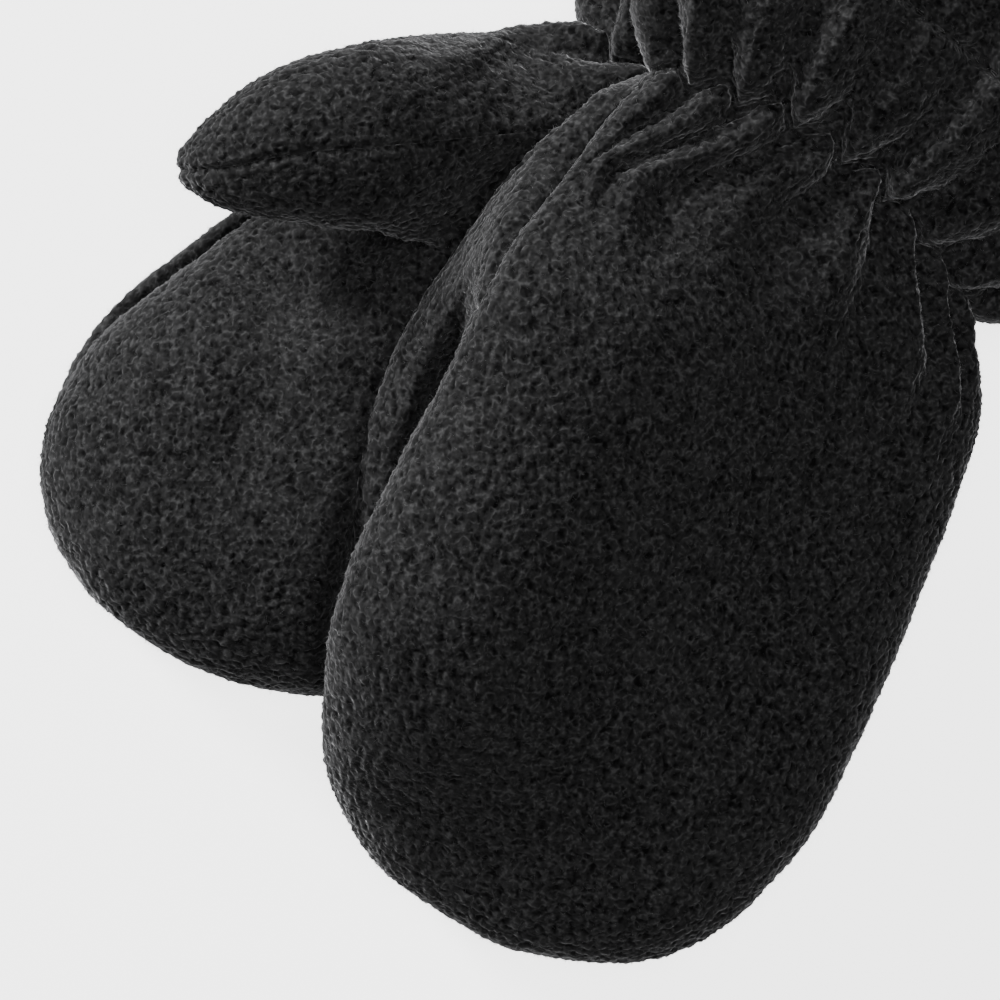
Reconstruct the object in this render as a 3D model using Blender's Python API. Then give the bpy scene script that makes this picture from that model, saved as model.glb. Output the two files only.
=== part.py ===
"""A pair of baby mittens in thick fleece, lying one across the other on a table.

Each mitten is cut as a back, a palm and a heel, and has a gathered wrist and a flared cuff.
The palm and the heel each carry one half of the thumb, and their seam runs round its edge.
The left mitten lies back up, with its thumb folded under it, and leans on the right one,
which lies palm up with its thumb on top. Both are hollow and their cuffs are open.

A mitten is drawn in its own plan: `along` runs from the wrist to the fingertips and `across`
from the index finger's side to the little finger's. Sizes here are in millimetres.
"""

import math
from dataclasses import dataclass

import bpy
import numpy as np
from mathutils.bvhtree import BVHTree

MM = 0.001
WALL = 2.0  # thickness of the fleece
HEM_WALL = 3.2  # the hem is the fleece folded in on itself
LEAST_LIFT = 0.5 * WALL  # least height of the cloth's inside over what it lies on
SEAM_GAP = 0.3
SEAM_SHARE = 0.65  # of the gap, by which each piece draws back from a seam
REST_GAP = 0.15  # each mitten's share of the gap between them
CURVE_STEPS = 12  # steps between two points of a drawn curve
SHARP_EDGE = math.radians(50.0)

# The closed edge of the hand, where back and palm meet. It starts and ends at the wrist.
HAND_EDGE = (
    # place, along, across
    ("index wrist", -6.3, -27.7),
    ("index heel", 3.0, -30.2),
    ("index root", 13.0, -32.4),
    ("index knuckle", 24.3, -35.8),
    ("index middle", 44.2, -37.0),
    ("index finger", 72.3, -39.4),
    ("index bend", 90.2, -35.9),
    ("index corner", 101.0, -29.2),
    ("index tip", 109.2, -18.0),
    ("tip", 112.5, 0.0),
    ("little tip", 108.9, 16.2),
    ("little corner", 101.9, 25.7),
    ("little bend", 90.5, 32.9),
    ("little finger", 76.0, 36.0),
    ("little middle", 46.0, 35.4),
    ("little root", 20.0, 32.4),
    ("little wrist", 6.8, 28.5),
)
# The lower mitten is cut the same, but its fingertips are bent to one side as it lies.
BENT_EDGE = (
    # place, along, across
    ("index wrist", 0.3, -28.0),
    ("index heel", 5.0, -30.2),
    ("index root", 13.0, -32.2),
    ("index knuckle", 24.3, -34.8),
    ("index middle", 44.2, -35.8),
    ("index finger", 72.3, -35.8),
    ("index bend", 88.0, -34.4),
    ("index corner", 101.0, -29.2),
    ("index tip", 109.3, -19.0),
    ("tip", 111.7, -5.0),
    ("little tip", 108.6, 9.8),
    ("little corner", 101.5, 20.6),
    ("little bend", 90.5, 30.0),
    ("little finger", 76.0, 33.8),
    ("little middle", 46.0, 34.4),
    ("little root", 20.0, 31.4),
    ("little wrist", 4.5, 28.0),
)
INDEX_CORNER = "index corner"
LITTLE_CORNER = "little corner"
HAND_LENGTH = 117.0  # from the wrist to the tip, along the middle

# Distances from the wrist at which a ring of points crosses the hand and the cuff.
HAND_ROWS = (0, 1.6, 4, 7.5, 12, 18, 25, 33, 42, 53, 65, 77, 88, 98, 106, 112, 115.6, 117)
CUFF_ROWS = (0, 1.8, 5, 11, 19, 27, 40)
HEM_LINE = 27.0

# How far the cuff's edge stands out past the wrist's, at each distance from the wrist.
CUFF_FLARE = (
    # distance, spread, crown factor
    (0.0, 0.0, 1.0),
    (1.8, 1.4, 1.1),
    (5.0, 5.0, 1.3),
    (11.0, 10.0, 1.45),
    (19.0, 12.5, 1.45),
    (27.0, 13.5, 1.4),
    (40.0, 14.0, 1.35),
)

# Roundness of the side: how far in from the edge a panel reaches its full height.
TOP_ROUNDING = 25.0
UNDER_ROUNDING = 12.0
WRIST_DRAW = 1.8  # how far the elastic draws the cloth in
WRIST_DRAW_REACH = 5.0
UNDER_DRAW = 0.6  # share of the draw that lifts the side that lies down
SQUEEZE_BLEND = 1.0  # softness with which the seam and the thumb give way to a load

# Gathers. Columns bunch on the ridges at the wrist and are evenly spaced at the tip.
COLUMNS_PER_GATHER = 4
GATHER_SPREAD = 18.0  # distance over which the ridges fan out
HAND_SPREAD = (14.0, 44.0)  # where the columns leave the gathers for the hand's own spacing
TIP_SPREAD = 98.0  # where they turn to the even spacing of the tip
HAND_EVENNESS = 0.5  # between columns crowded at the sides, 0, and evenly spaced, 1
WRIST_DEPTH = 0.25  # share of a ridge's height that is left in the wrist's seam
GATHER_RISE = 4.0  # distance in which a ridge reaches its height
GATHER_CREST = 0.15  # share of its reach at which a ridge starts to fall
LIFT_HEIGHT = 1.4  # the ridge height that gather_lift is given for
CUFF_FADE = 0.55  # share of a cuff fold that is gone at its hem
CUFF_FADE_START = 8.0
INNER_RIPPLE = 0.55  # share of each ridge that shows on the cloth's inside

# The heel stands out between these distances from the hand's edge.
BULGE_RISE = 3.0
BULGE_FALL = (4.0, 26.0)
BULGE_LEVEL = 0.45  # share of the bulge that stays level with the seam

# The under panel swells beside the seam, from the wrist on, and fades further in.
ROLL_HEIGHT = 1.2
ROLL_RISE = 1.4
ROLL_FALL = (2.5, 9.0)
ROLL_START = (8.0, 20.0)

THUMB_LEAD = (0.34, 0.68)  # rings between the thumb's root and its first section
THUMB_CORNER = -1.5  # quarter turns from the thumb's top to the first corner of its root
NEIGHBOUR_SHARE = 0.25  # weight of each neighbouring face in an eased direction

# The left mitten leans on the right one along a sloping plane.
LEAN_POINT = (38.5, 23.0)
LEAN_HEIGHT = 9.5
LEAN_SLOPE = 0.35
LEAN_DOWNHILL = (0.62, -0.785)
LEAN_BLEND = 4.0
PRESS_BLEND = 4.0
OPEN_CLEARANCE = 6.0  # how far past the upper mitten the lower one starts to rise
OPEN_SLOPE = 1.2

# Row frame: the middle of the pair's base.
PAIR_CENTRE = (18.38, 17.11)


@dataclass(frozen=True)
class Mitten:
    """One mitten's place, build and the tables of its gathers and its thumb."""

    name: str
    centre: tuple  # of the wrist, in the pair's plan
    heading: tuple  # from the wrist to the tip
    scale: float
    palm_up: bool
    wrist: tuple  # along, across
    cuff_turn: float  # degrees that the cuff's axis turns to the little finger's side
    seam_height: float
    crown: tuple  # along, height of the upper panel over the seam
    back_gathers: tuple
    palm_gathers: tuple
    gather_lift: float
    thumb_rows: tuple  # first and last row of the thumb's root
    thumb_columns: tuple
    thumb: tuple
    thumb_tip: tuple
    heel_bulge: tuple  # along, how far the heel stands out past the edge
    thumb_room: tuple  # height, then along from, full, to, gone, then across from, full
    thumb_twist: float  # degrees that the thumb's seam turns up over its top
    roll_from: tuple  # where along the index finger's side the roll comes in
    edge: tuple = HAND_EDGE


LEFT = Mitten(
    name="left",
    centre=(42.7, 42.1),
    heading=(-0.38, -0.925),
    scale=1.0,
    palm_up=False,
    wrist=((-6.3, -27.7), (-7.4, -13.9), (-7.6, -5.7), (-5.9, 1.9), (-3.2, 10.1), (6.8, 28.5)),
    cuff_turn=14.0,
    seam_height=7.5,
    crown=((-8, 8.0), (8, 10.5), (28, 13.0), (62, 15.0), (92, 14.0), (114, 12.5)),
    back_gathers=(
        # at the wrist, where it fades, height, reach
        (0.085, 0.015, 0.9, 11.0),
        (0.216, 0.050, 1.4, 19.0),
        (0.343, 0.140, 1.6, 24.0),
        (0.487, 0.336, 1.5, 19.0),
        (0.610, 0.570, 1.5, 30.0),
        (0.734, 0.800, 1.4, 26.0),
        (0.848, 0.925, 1.1, 22.0),
        (0.956, 0.985, 0.8, 14.0),
    ),
    palm_gathers=(
        (0.070, 0.050, 0.7, 10.0),
        (0.200, 0.140, 1.0, 14.0),
        (0.320, 0.260, 1.1, 18.0),
        (0.450, 0.410, 0.9, 15.0),
        (0.570, 0.570, 1.1, 20.0),
        (0.700, 0.730, 1.0, 16.0),
        (0.820, 0.870, 0.9, 14.0),
        (0.930, 0.960, 0.7, 10.0),
    ),
    gather_lift=1.9,
    thumb_rows=(4, 8),
    thumb_columns=(1, 12),
    thumb=(
        # along, across, height, half width, half depth
        (44.0, -32.0, 4.9, 12.9, 4.7),
        (52.0, -32.2, 4.9, 12.3, 4.7),
        (60.0, -31.6, 4.8, 11.3, 4.6),
        (67.0, -31.0, 4.7, 9.8, 4.4),
        (72.5, -30.6, 4.6, 7.4, 4.0),
        (76.0, -30.4, 4.5, 4.4, 3.0),
    ),
    thumb_tip=(77.6, -30.3, 4.5),
    heel_bulge=((-6, 0.0), (0, 4.0), (8, 6.8), (20, 7.2), (27, 5.0), (35, 0.0)),
    thumb_room=(11.5, 0.0, 34.0, 74.0, 108.0, 26.0, -18.0),
    thumb_twist=0.0,
    roll_from=(84.0, 104.0),
)

RIGHT = Mitten(
    name="right",
    centre=(26.8, 47.6),
    heading=(-0.784, -0.621),
    scale=0.9315,
    palm_up=True,
    wrist=((0.3, -28.0), (-1.6, -14.0), (-2.0, 0.0), (-0.6, 14.0), (4.5, 28.0)),
    cuff_turn=6.0,
    seam_height=7.0,
    crown=((-8, 9.0), (8, 12.5), (28, 14.0), (62, 15.5), (92, 14.5), (114, 13.0)),
    back_gathers=(
        (0.090, 0.060, 0.7, 10.0),
        (0.250, 0.200, 1.0, 15.0),
        (0.420, 0.390, 1.1, 18.0),
        (0.590, 0.600, 1.0, 15.0),
        (0.750, 0.800, 1.0, 16.0),
        (0.910, 0.950, 0.7, 10.0),
    ),
    palm_gathers=(
        (0.090, 0.050, 0.9, 12.0),
        (0.260, 0.190, 1.3, 17.0),
        (0.420, 0.380, 1.2, 20.0),
        (0.590, 0.600, 1.3, 18.0),
        (0.760, 0.810, 1.1, 20.0),
        (0.910, 0.950, 0.8, 12.0),
    ),
    gather_lift=1.5,
    thumb_rows=(4, 8),
    thumb_columns=(1, 9),
    thumb=(
        (37.0, -32.5, 26.0, 13.6, 9.4),
        (43.5, -36.8, 27.2, 12.3, 9.3),
        (49.0, -39.6, 27.6, 10.4, 8.6),
        (53.5, -41.6, 27.3, 8.2, 7.4),
        (57.3, -43.5, 26.8, 5.7, 5.6),
        (59.5, -44.7, 26.3, 3.4, 3.4),
    ),
    thumb_tip=(61.0, -45.5, 26.0),
    heel_bulge=((-2, 0.0), (4, 2.5), (9, 4.8), (17, 7.2), (25, 6.0), (35, 0.0)),
    thumb_room=(6.0, 20.0, 32.0, 56.0, 72.0, -10.0, -24.0),
    thumb_twist=34.0,
    roll_from=(-10.0, 0.0),
    edge=BENT_EDGE,
)

FLEECE_COLOURS = {
    # piece: linear base colour
    "back": (0.0105, 0.0108, 0.0115),
    "palm": (0.0100, 0.0103, 0.0110),
    "heel": (0.0098, 0.0101, 0.0108),
    "cuff": (0.0102, 0.0105, 0.0112),
}
FLEECE_ROUGHNESS = 0.95


def smoothstep(value, start, end):
    """0 before start and 1 after end, with an even slope between."""
    part = np.clip((value - start) / (end - start), 0.0, 1.0)
    return part * part * (3.0 - 2.0 * part)


def smooth_max(a, b, radius):
    """Never less than either, and round where they cross."""
    share = np.clip(0.5 + 0.5 * (a - b) / radius, 0.0, 1.0)
    return b * (1.0 - share) + a * share + radius * share * (1.0 - share)


def smooth_min(a, b, radius):
    """Never more than either, and round where they cross."""
    return -smooth_max(-a, -b, radius)


def through(points):
    """A smooth curve through the points, as a close polyline."""
    points = np.asarray(points, float)
    ends = np.vstack([2 * points[0] - points[1], points, 2 * points[-1] - points[-2]])
    steps = np.linspace(0.0, 1.0, CURVE_STEPS, endpoint=False)[:, None]
    spans = []
    for before, start, end, after in zip(ends, ends[1:], ends[2:], ends[3:]):
        spans.append(
            0.5
            * (
                2 * start
                + (end - before) * steps
                + (2 * before - 5 * start + 4 * end - after) * steps**2
                + (3 * start - before - 3 * end + after) * steps**3
            )
        )
    return np.vstack([*spans, points[-1:]])


def along_curve(curve, fractions):
    """Points on a polyline at these fractions of its length."""
    lengths = np.concatenate([[0.0], np.cumsum(np.linalg.norm(np.diff(curve, axis=0), axis=1))])
    wanted = np.asarray(fractions) * lengths[-1]
    return np.stack([np.interp(wanted, lengths, curve[:, i]) for i in range(2)], axis=-1)


def distance_to(curve, points):
    """How far each point lies from a polyline."""
    start, step = curve[:-1], np.diff(curve, axis=0)
    offset = points[..., None, :] - start
    share = np.clip((offset * step).sum(-1) / (step * step).sum(-1), 0.0, 1.0)
    return np.linalg.norm(offset - share[..., None] * step, axis=-1).min(-1)


def rounding(distance, reach):
    """The quarter-round side of a panel: 0 at its edge and 1 from reach on."""
    part = 1.0 - np.clip(distance / reach, 0.0, 1.0)
    return np.sqrt(1.0 - part * part)


def lean_height(places):
    """Height of the plane on which the upper mitten leans, over places in the pair's plan."""
    offset = np.asarray(places) - LEAN_POINT
    return LEAN_HEIGHT - LEAN_SLOPE * (offset @ np.asarray(LEAN_DOWNHILL))


class Plan:
    """The flat drawing of a mitten: where each row and column of its panels lies."""

    def __init__(self, mitten):
        self.mitten = mitten
        rows = {row[0]: index for index, row in enumerate(mitten.edge)}
        edge = [list(row[1:]) for row in mitten.edge]
        edge[0], edge[-1] = list(mitten.wrist[0]), list(mitten.wrist[-1])
        self.edge = through(edge)
        index_end = rows[INDEX_CORNER] * CURVE_STEPS
        little_end = rows[LITTLE_CORNER] * CURVE_STEPS
        self.index_side = self.edge[: index_end + 1]
        self.tip_side = self.edge[index_end : little_end + 1]
        self.little_side = self.edge[little_end:][::-1]
        self.wrist = through(mitten.wrist)
        heading = np.asarray(mitten.heading)
        self.forward = heading / np.linalg.norm(heading)
        self.sideways = np.array([-self.forward[1], self.forward[0]])

    def place(self, drawn):
        """Points of the drawing, put where the mitten lies in the pair's plan."""
        drawn = np.asarray(drawn, float)
        turned = drawn[..., :1] * self.forward + drawn[..., 1:2] * self.sideways
        return np.asarray(self.mitten.centre) + self.mitten.scale * turned

    def columns(self, gathers, distance):
        """Where the columns cross a row, as shares of the hand's width."""
        count = COLUMNS_PER_GATHER * len(gathers)
        middle = COLUMNS_PER_GATHER / 2
        crests = [0.0, *(middle + COLUMNS_PER_GATHER * i for i in range(len(gathers))), count]
        column = np.arange(count + 1)
        at_wrist = np.interp(column, crests, [0.0, *(row[0] for row in gathers), 1.0])
        spread = np.interp(column, crests, [0.0, *(row[1] for row in gathers), 1.0])
        even = column / count
        crowded = 0.5 * (1.0 - np.cos(np.pi * even))
        hand = HAND_EVENNESS * even + (1.0 - HAND_EVENNESS) * crowded
        shares = at_wrist + (spread - at_wrist) * smoothstep(distance, 0.0, GATHER_SPREAD)
        shares += (hand - shares) * smoothstep(distance, *HAND_SPREAD)
        return shares + (even - shares) * smoothstep(distance, TIP_SPREAD, HAND_LENGTH)

    def hand(self, gathers):
        """The hand's rows and columns in the drawing, wrist first."""
        rows = []
        for distance in HAND_ROWS:
            u = self.columns(gathers, distance)
            v = distance / HAND_LENGTH
            start, end = along_curve(self.wrist, u), along_curve(self.tip_side, u)
            left = along_curve(self.index_side, [v])[0]
            right = along_curve(self.little_side, [v])[0]
            u = u[:, None]
            corners = (1 - v) * ((1 - u) * self.wrist[0] + u * self.wrist[-1])
            corners = corners + v * ((1 - u) * self.tip_side[0] + u * self.tip_side[-1])
            rows.append((1 - v) * start + v * end + (1 - u) * left + u * right - corners)
        return np.array(rows)

    def cuff(self, gathers):
        """The cuff's rows and columns in the drawing, from the wrist to the hem."""
        u = self.columns(gathers, 0.0)[:, None]
        start = along_curve(self.wrist, u[:, 0])
        turn = math.radians(self.mitten.cuff_turn)
        axis = np.array([-math.cos(turn), math.sin(turn)])
        out = np.array([math.sin(turn), math.cos(turn)])
        rows = []
        for distance in CUFF_ROWS:
            spread = np.interp(distance, *np.array(CUFF_FLARE).T[:2])
            rows.append(start + distance * axis + (2 * u - 1) * spread * out)
        return np.array(rows)


def gather_wave(gathers):
    """Height of each column's ridge (+) or trough (-), and how far it reaches."""
    count = COLUMNS_PER_GATHER * len(gathers)
    column = np.arange(count + 1)
    middle = COLUMNS_PER_GATHER / 2
    crests = middle + COLUMNS_PER_GATHER * np.arange(len(gathers))
    wave = np.cos(2 * np.pi * (column - middle) / COLUMNS_PER_GATHER)
    wave[0] = wave[-1] = 0.0
    height = np.interp(column, crests, [row[2] for row in gathers])
    reach = np.interp(column, crests, [row[3] for row in gathers])
    return wave * height, reach


def hand_ripple(gathers):
    """How far each point of a hand panel stands out or in for its gathers."""
    wave, reach = gather_wave(gathers)
    distance = np.asarray(HAND_ROWS, float)[:, None]
    rise = WRIST_DEPTH + (1.0 - WRIST_DEPTH) * smoothstep(distance, 0.0, GATHER_RISE)
    return wave * rise * (1.0 - smoothstep(distance, GATHER_CREST * reach, reach))


def cuff_ripple(gathers, lift):
    """The cuff's folds, whose ridges start in the troughs of the hand's gathers."""
    wave, _ = gather_wave(gathers)
    distance = np.asarray(CUFF_ROWS, float)[:, None]
    turned = WRIST_DEPTH - (WRIST_DEPTH + lift) * smoothstep(distance, 0.0, GATHER_RISE)
    fade = CUFF_FADE * smoothstep(distance, CUFF_FADE_START, CUFF_ROWS[-1])
    return wave * turned * (1.0 - fade)


class Body:
    """One mitten's outer surface: its points, faces and the panel that each face is cut from."""

    def __init__(self, mitten, upper=None):
        self.mitten = mitten
        self.plan = Plan(mitten)
        self.upper = upper  # the footprint of the mitten that lies on this one
        self.points, self.ripples, self.walls = [], [], []
        self.faces, self.panels = [], []
        top = mitten.palm_gathers if mitten.palm_up else mitten.back_gathers
        under = mitten.back_gathers if mitten.palm_up else mitten.palm_gathers
        self.last = COLUMNS_PER_GATHER * len(top)
        self.lay_hand(top, under)
        self.lay_cuff(top, under)
        self.lay_thumb()

    def add(self, point, ripple=0.0, wall=WALL):
        """Stores one point and gives its number."""
        self.points.append(np.asarray(point, float))
        self.ripples.append(float(ripple))
        self.walls.append(wall)
        return len(self.points) - 1

    def face(self, panel, *corners):
        """Stores one face of a panel, its corners running anticlockwise from outside."""
        self.faces.append(corners)
        self.panels.append(panel)

    def bed(self, drawn):
        """Height of what lies under the mitten at these points of its drawing."""
        if self.mitten.palm_up:
            return np.zeros(drawn.shape[:-1])
        lean = lean_height(self.plan.place(drawn)) + REST_GAP
        return smooth_max(lean, np.zeros_like(lean), LEAN_BLEND)

    def thumb_share(self, drawn):
        """1 where the thumb lies over or under the hand, and 0 away from it."""
        _, start, full, end, gone, side, side_full = self.mitten.thumb_room
        along, across = drawn[..., 0], drawn[..., 1]
        lengthways = smoothstep(along, start, full) * (1.0 - smoothstep(along, end, gone))
        return lengthways * smoothstep(-across, -side, -side_full)

    def ceiling(self, places):
        """The most height that the mitten above leaves at these places of the pair's plan."""
        limit = lean_height(places) - REST_GAP
        flat = places.reshape(-1, 2)
        away = [self.upper.find_nearest((x, y, 0.0))[3] for x, y in flat]
        away = np.asarray(away).reshape(places.shape[:-1])
        return limit + OPEN_SLOPE * np.maximum(away - OPEN_CLEARANCE, 0.0)

    def seam_level(self, drawn):
        """Height of the edge where the two panels meet."""
        level = self.bed(drawn) + self.mitten.seam_height * self.mitten.scale
        if self.mitten.palm_up:
            half = 0.5 * self.ceiling(self.plan.place(drawn))
            level = smooth_min(level, half, SQUEEZE_BLEND)
        else:
            level = level + self.mitten.thumb_room[0] * self.thumb_share(drawn)
        return level

    def levels(self, drawn, inward, crown, draw):
        """Heights of the upper and the under panel at these points of the drawing."""
        seam = self.seam_level(drawn)
        under = self.bed(drawn) + UNDER_DRAW * draw
        room = self.mitten.thumb_room[0] * self.thumb_share(drawn)
        if self.mitten.palm_up:
            top = seam + (crown - draw - room) * rounding(inward, TOP_ROUNDING)
            top = smooth_min(top, self.ceiling(self.plan.place(drawn)), PRESS_BLEND)
        else:
            top = seam + (crown - draw) * rounding(inward, TOP_ROUNDING)
            under = under + room
        under = seam + (under - seam) * rounding(inward, UNDER_ROUNDING)
        return top, under

    def crown_at(self, drawn):
        """The upper panel's full height over the seam."""
        return np.interp(drawn[..., 0], *np.array(self.mitten.crown).T)

    def bulge(self, drawn, inward):
        """How far the palm side's points are pushed out where the heel stands proud."""
        bulge = np.interp(drawn[..., 0], *np.array(self.mitten.heel_bulge).T)
        near = drawn[..., 1] < 0
        share = smoothstep(inward, 0.0, BULGE_RISE) * (1.0 - smoothstep(inward, *BULGE_FALL))
        return bulge * share * near

    def roll(self, drawn, inward):
        """How far the under panel swells out beside the seam."""
        along, across = drawn[..., 0], drawn[..., 1]
        swell = smoothstep(inward, 0.0, ROLL_RISE) * (1.0 - smoothstep(inward, *ROLL_FALL))
        index_side = smoothstep(along, *self.mitten.roll_from)
        side = np.maximum(index_side, smoothstep(across, -ROLL_FALL[1], ROLL_FALL[1]))
        return ROLL_HEIGHT * swell * side * smoothstep(along, *ROLL_START)

    def lay_hand(self, top, under):
        """The back and the palm, which share the points of the hand's edge."""
        draw = WRIST_DRAW * (1.0 - smoothstep(np.asarray(HAND_ROWS), 0.0, WRIST_DRAW_REACH))
        sides = []
        for gathers, is_top in ((top, True), (under, False)):
            drawn = self.plan.hand(gathers)
            inward = distance_to(self.plan.edge, drawn)
            inward[:, 0] = inward[:, -1] = inward[-1] = 0.0
            crown = self.crown_at(drawn)
            is_palm = is_top == self.mitten.palm_up
            bulge = self.bulge(drawn, inward) if is_palm else np.zeros_like(inward)
            rounded = np.maximum(inward - BULGE_LEVEL * bulge, 0.0)
            levels = self.levels(drawn, rounded, crown, draw[:, None])
            ripple = hand_ripple(gathers)
            if not is_top:
                ripple = ripple + self.roll(drawn, inward)
            height = levels[0] if is_top else levels[1]
            drawn[..., 1] -= bulge
            places = self.plan.place(drawn)
            points = np.concatenate([places, height[..., None]], axis=-1)
            sides.append((points, ripple))
        (points, ripple), (under_points, under_ripple) = sides
        rows, columns = ripple.shape
        self.top = [
            [self.add(points[j, k], ripple[j, k]) for k in range(columns)] for j in range(rows)
        ]
        self.under = []
        for j in range(rows):
            row = []
            for k in range(columns):
                shared = k in (0, columns - 1) or j == rows - 1
                if shared:
                    row.append(self.top[j][k])
                else:
                    row.append(self.add(under_points[j, k], under_ripple[j, k]))
            self.under.append(row)
        for j in range(rows - 1):
            for k in range(columns - 1):
                for grid, is_top in ((self.top, True), (self.under, False)):
                    panel = "back"
                    if is_top == self.mitten.palm_up:
                        panel = self.palm_piece(j, k)
                    if panel is None:
                        continue
                    corners = (grid[j][k], grid[j + 1][k], grid[j + 1][k + 1], grid[j][k + 1])
                    self.face(panel, *(corners if is_top else corners[::-1]))

    def palm_piece(self, row, column):
        """Which piece a face of the palm side belongs to, or None in the thumb's root."""
        first, last = self.mitten.thumb_rows
        outer, inner = self.mitten.thumb_columns
        if row < first:
            return "heel"
        if row < last and column < outer:
            return "heel"
        if row < last and column < inner:
            return None
        return "palm"

    def lay_cuff(self, top, under):
        """The cuff, a tube that starts on the wrist's own points."""
        rings = []
        flare = np.array(CUFF_FLARE).T
        distances = np.asarray(CUFF_ROWS, float)
        draw = WRIST_DRAW * (1.0 - smoothstep(distances, 0.0, WRIST_DRAW_REACH))
        for gathers, is_top in ((top, True), (under, False)):
            drawn = self.plan.cuff(gathers)
            widths = np.linalg.norm(drawn[:, -1] - drawn[:, 0], axis=-1)[:, None]
            share = self.plan.columns(gathers, 0.0)
            inward = widths * np.minimum(share, 1.0 - share)
            factor = np.interp(distances, flare[0], flare[2])
            crown = self.crown_at(drawn[0]) * factor[:, None]
            levels = self.levels(drawn, inward, crown, draw[:, None])
            height = levels[0] if is_top else levels[1]
            points = np.concatenate([self.plan.place(drawn), height[..., None]], axis=-1)
            ripple = cuff_ripple(gathers, self.mitten.gather_lift / LIFT_HEIGHT)
            rings.append((points, ripple))
        (points, ripple), (under_points, under_ripple) = rings
        last = self.last
        previous = self.top[0] + self.under[0][1:last][::-1]
        for j in range(1, len(CUFF_ROWS)):
            wall = WALL + (HEM_WALL - WALL) * (CUFF_ROWS[j] > HEM_LINE)
            ring = [self.add(points[j, k], ripple[j, k], wall) for k in range(last + 1)]
            ring += [
                self.add(under_points[j, k], under_ripple[j, k], wall)
                for k in range(last - 1, 0, -1)
            ]
            count = len(ring)
            for i in range(count):
                n = (i + 1) % count
                self.face("cuff", previous[i], previous[n], ring[n], ring[i])
            previous = ring

    def lay_thumb(self):
        """The thumb, a tube from the open root in the palm to its closed tip."""
        mitten = self.mitten
        grid = self.top if mitten.palm_up else self.under
        first, last = mitten.thumb_rows
        outer, inner = mitten.thumb_columns
        rear = [(first, k) for k in range(outer, inner)]
        inside = [(j, inner) for j in range(first, last)]
        front = [(last, k) for k in range(inner, outer, -1)]
        outside = [(j, outer) for j in range(last, first, -1)]
        quarter = math.pi / 2
        angles = []
        for number, side in enumerate((rear, inside, front, outside)):
            start = number + THUMB_CORNER
            angles += [quarter * (start + i / len(side)) for i in range(len(side))]
        root = [grid[j][k] for j, k in rear + inside + front + outside]
        hand = np.array([self.points[i] for i in root])
        turn = -1.0 if mitten.palm_up else 1.0
        angles = (np.asarray(angles) - math.radians(mitten.thumb_twist)) * turn
        sections = np.asarray(mitten.thumb)
        spine = np.vstack([sections[:, :3], mitten.thumb_tip])
        middle = self.thumb_points(spine)
        rings = []
        for i, (_, _, _, half_width, half_depth) in enumerate(sections):
            ahead = middle[i + 1] - middle[max(i - 1, 0)]
            ahead = ahead / np.linalg.norm(ahead)
            side = np.cross(ahead, (0.0, 0.0, 1.0)) * -1.0
            side = side / np.linalg.norm(side)
            up = np.cross(ahead, side)
            width = half_width * mitten.scale * np.cos(angles)[:, None] * side
            depth = half_depth * mitten.scale * np.sin(angles)[:, None] * up
            rings.append(middle[i] + width + depth)
        lead = [hand + (rings[0] - hand) * share for share in THUMB_LEAD]
        heel_end = len(rear)
        palm_end = heel_end + len(inside) + len(front)
        previous = root
        for points in lead + rings:
            ring = [self.add(self.kept_clear(point)) for point in points]
            self.join_thumb(previous, ring, heel_end, palm_end)
            previous = ring
        tip = self.add(self.kept_clear(middle[-1]))
        for i in range(len(previous)):
            n = (i + 1) % len(previous)
            corners = (previous[i], previous[n], tip)
            panel = "palm" if heel_end <= i < palm_end else "heel"
            self.face(panel, *(corners[::-1] if mitten.palm_up else corners))

    def join_thumb(self, previous, ring, heel_end, palm_end):
        """The faces between two rings of the thumb, half of them cut with the palm."""
        for i in range(len(ring)):
            n = (i + 1) % len(ring)
            corners = (previous[i], previous[n], ring[n], ring[i])
            panel = "palm" if heel_end <= i < palm_end else "heel"
            self.face(panel, *(corners[::-1] if self.mitten.palm_up else corners))

    def thumb_points(self, spine):
        """The thumb's middle line where it lies. A thumb underneath follows the lean."""
        places = self.plan.place(spine[:, :2])
        height = spine[:, 2].copy()
        if not self.mitten.palm_up:
            height += lean_height(places) + REST_GAP
        return np.column_stack([places, height])

    def kept_clear(self, point):
        """A thumb's point, kept off what lies under or over it."""
        place = point[None, :2]
        if self.mitten.palm_up:
            height = smooth_min(point[2], self.ceiling(place)[0], SQUEEZE_BLEND)
        else:
            height = max(point[2], lean_height(place)[0] + REST_GAP, 0.0)
        return np.array([point[0], point[1], height])


def vertex_normals(points, faces):
    """The outward direction at each point of a surface."""
    normals = np.zeros_like(points)
    for corners in faces:
        ring = points[list(corners)]
        area = np.cross(ring, np.roll(ring, -1, axis=0)).sum(axis=0)
        for corner in corners:
            normals[corner] += area
    return unit(normals)


def unit(vectors):
    """The vectors at length 1. One of length 0 stays as it is."""
    lengths = np.linalg.norm(vectors, axis=1)[:, None]
    return vectors / np.where(lengths > 0.0, lengths, 1.0)


def eased(normals, faces):
    """The directions, each shared with those of the faces round it."""
    shared = normals.copy()
    for corners in faces:
        middle = normals[list(corners)].sum(axis=0)
        for corner in corners:
            shared[corner] += NEIGHBOUR_SHARE * middle
    return unit(shared)


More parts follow.
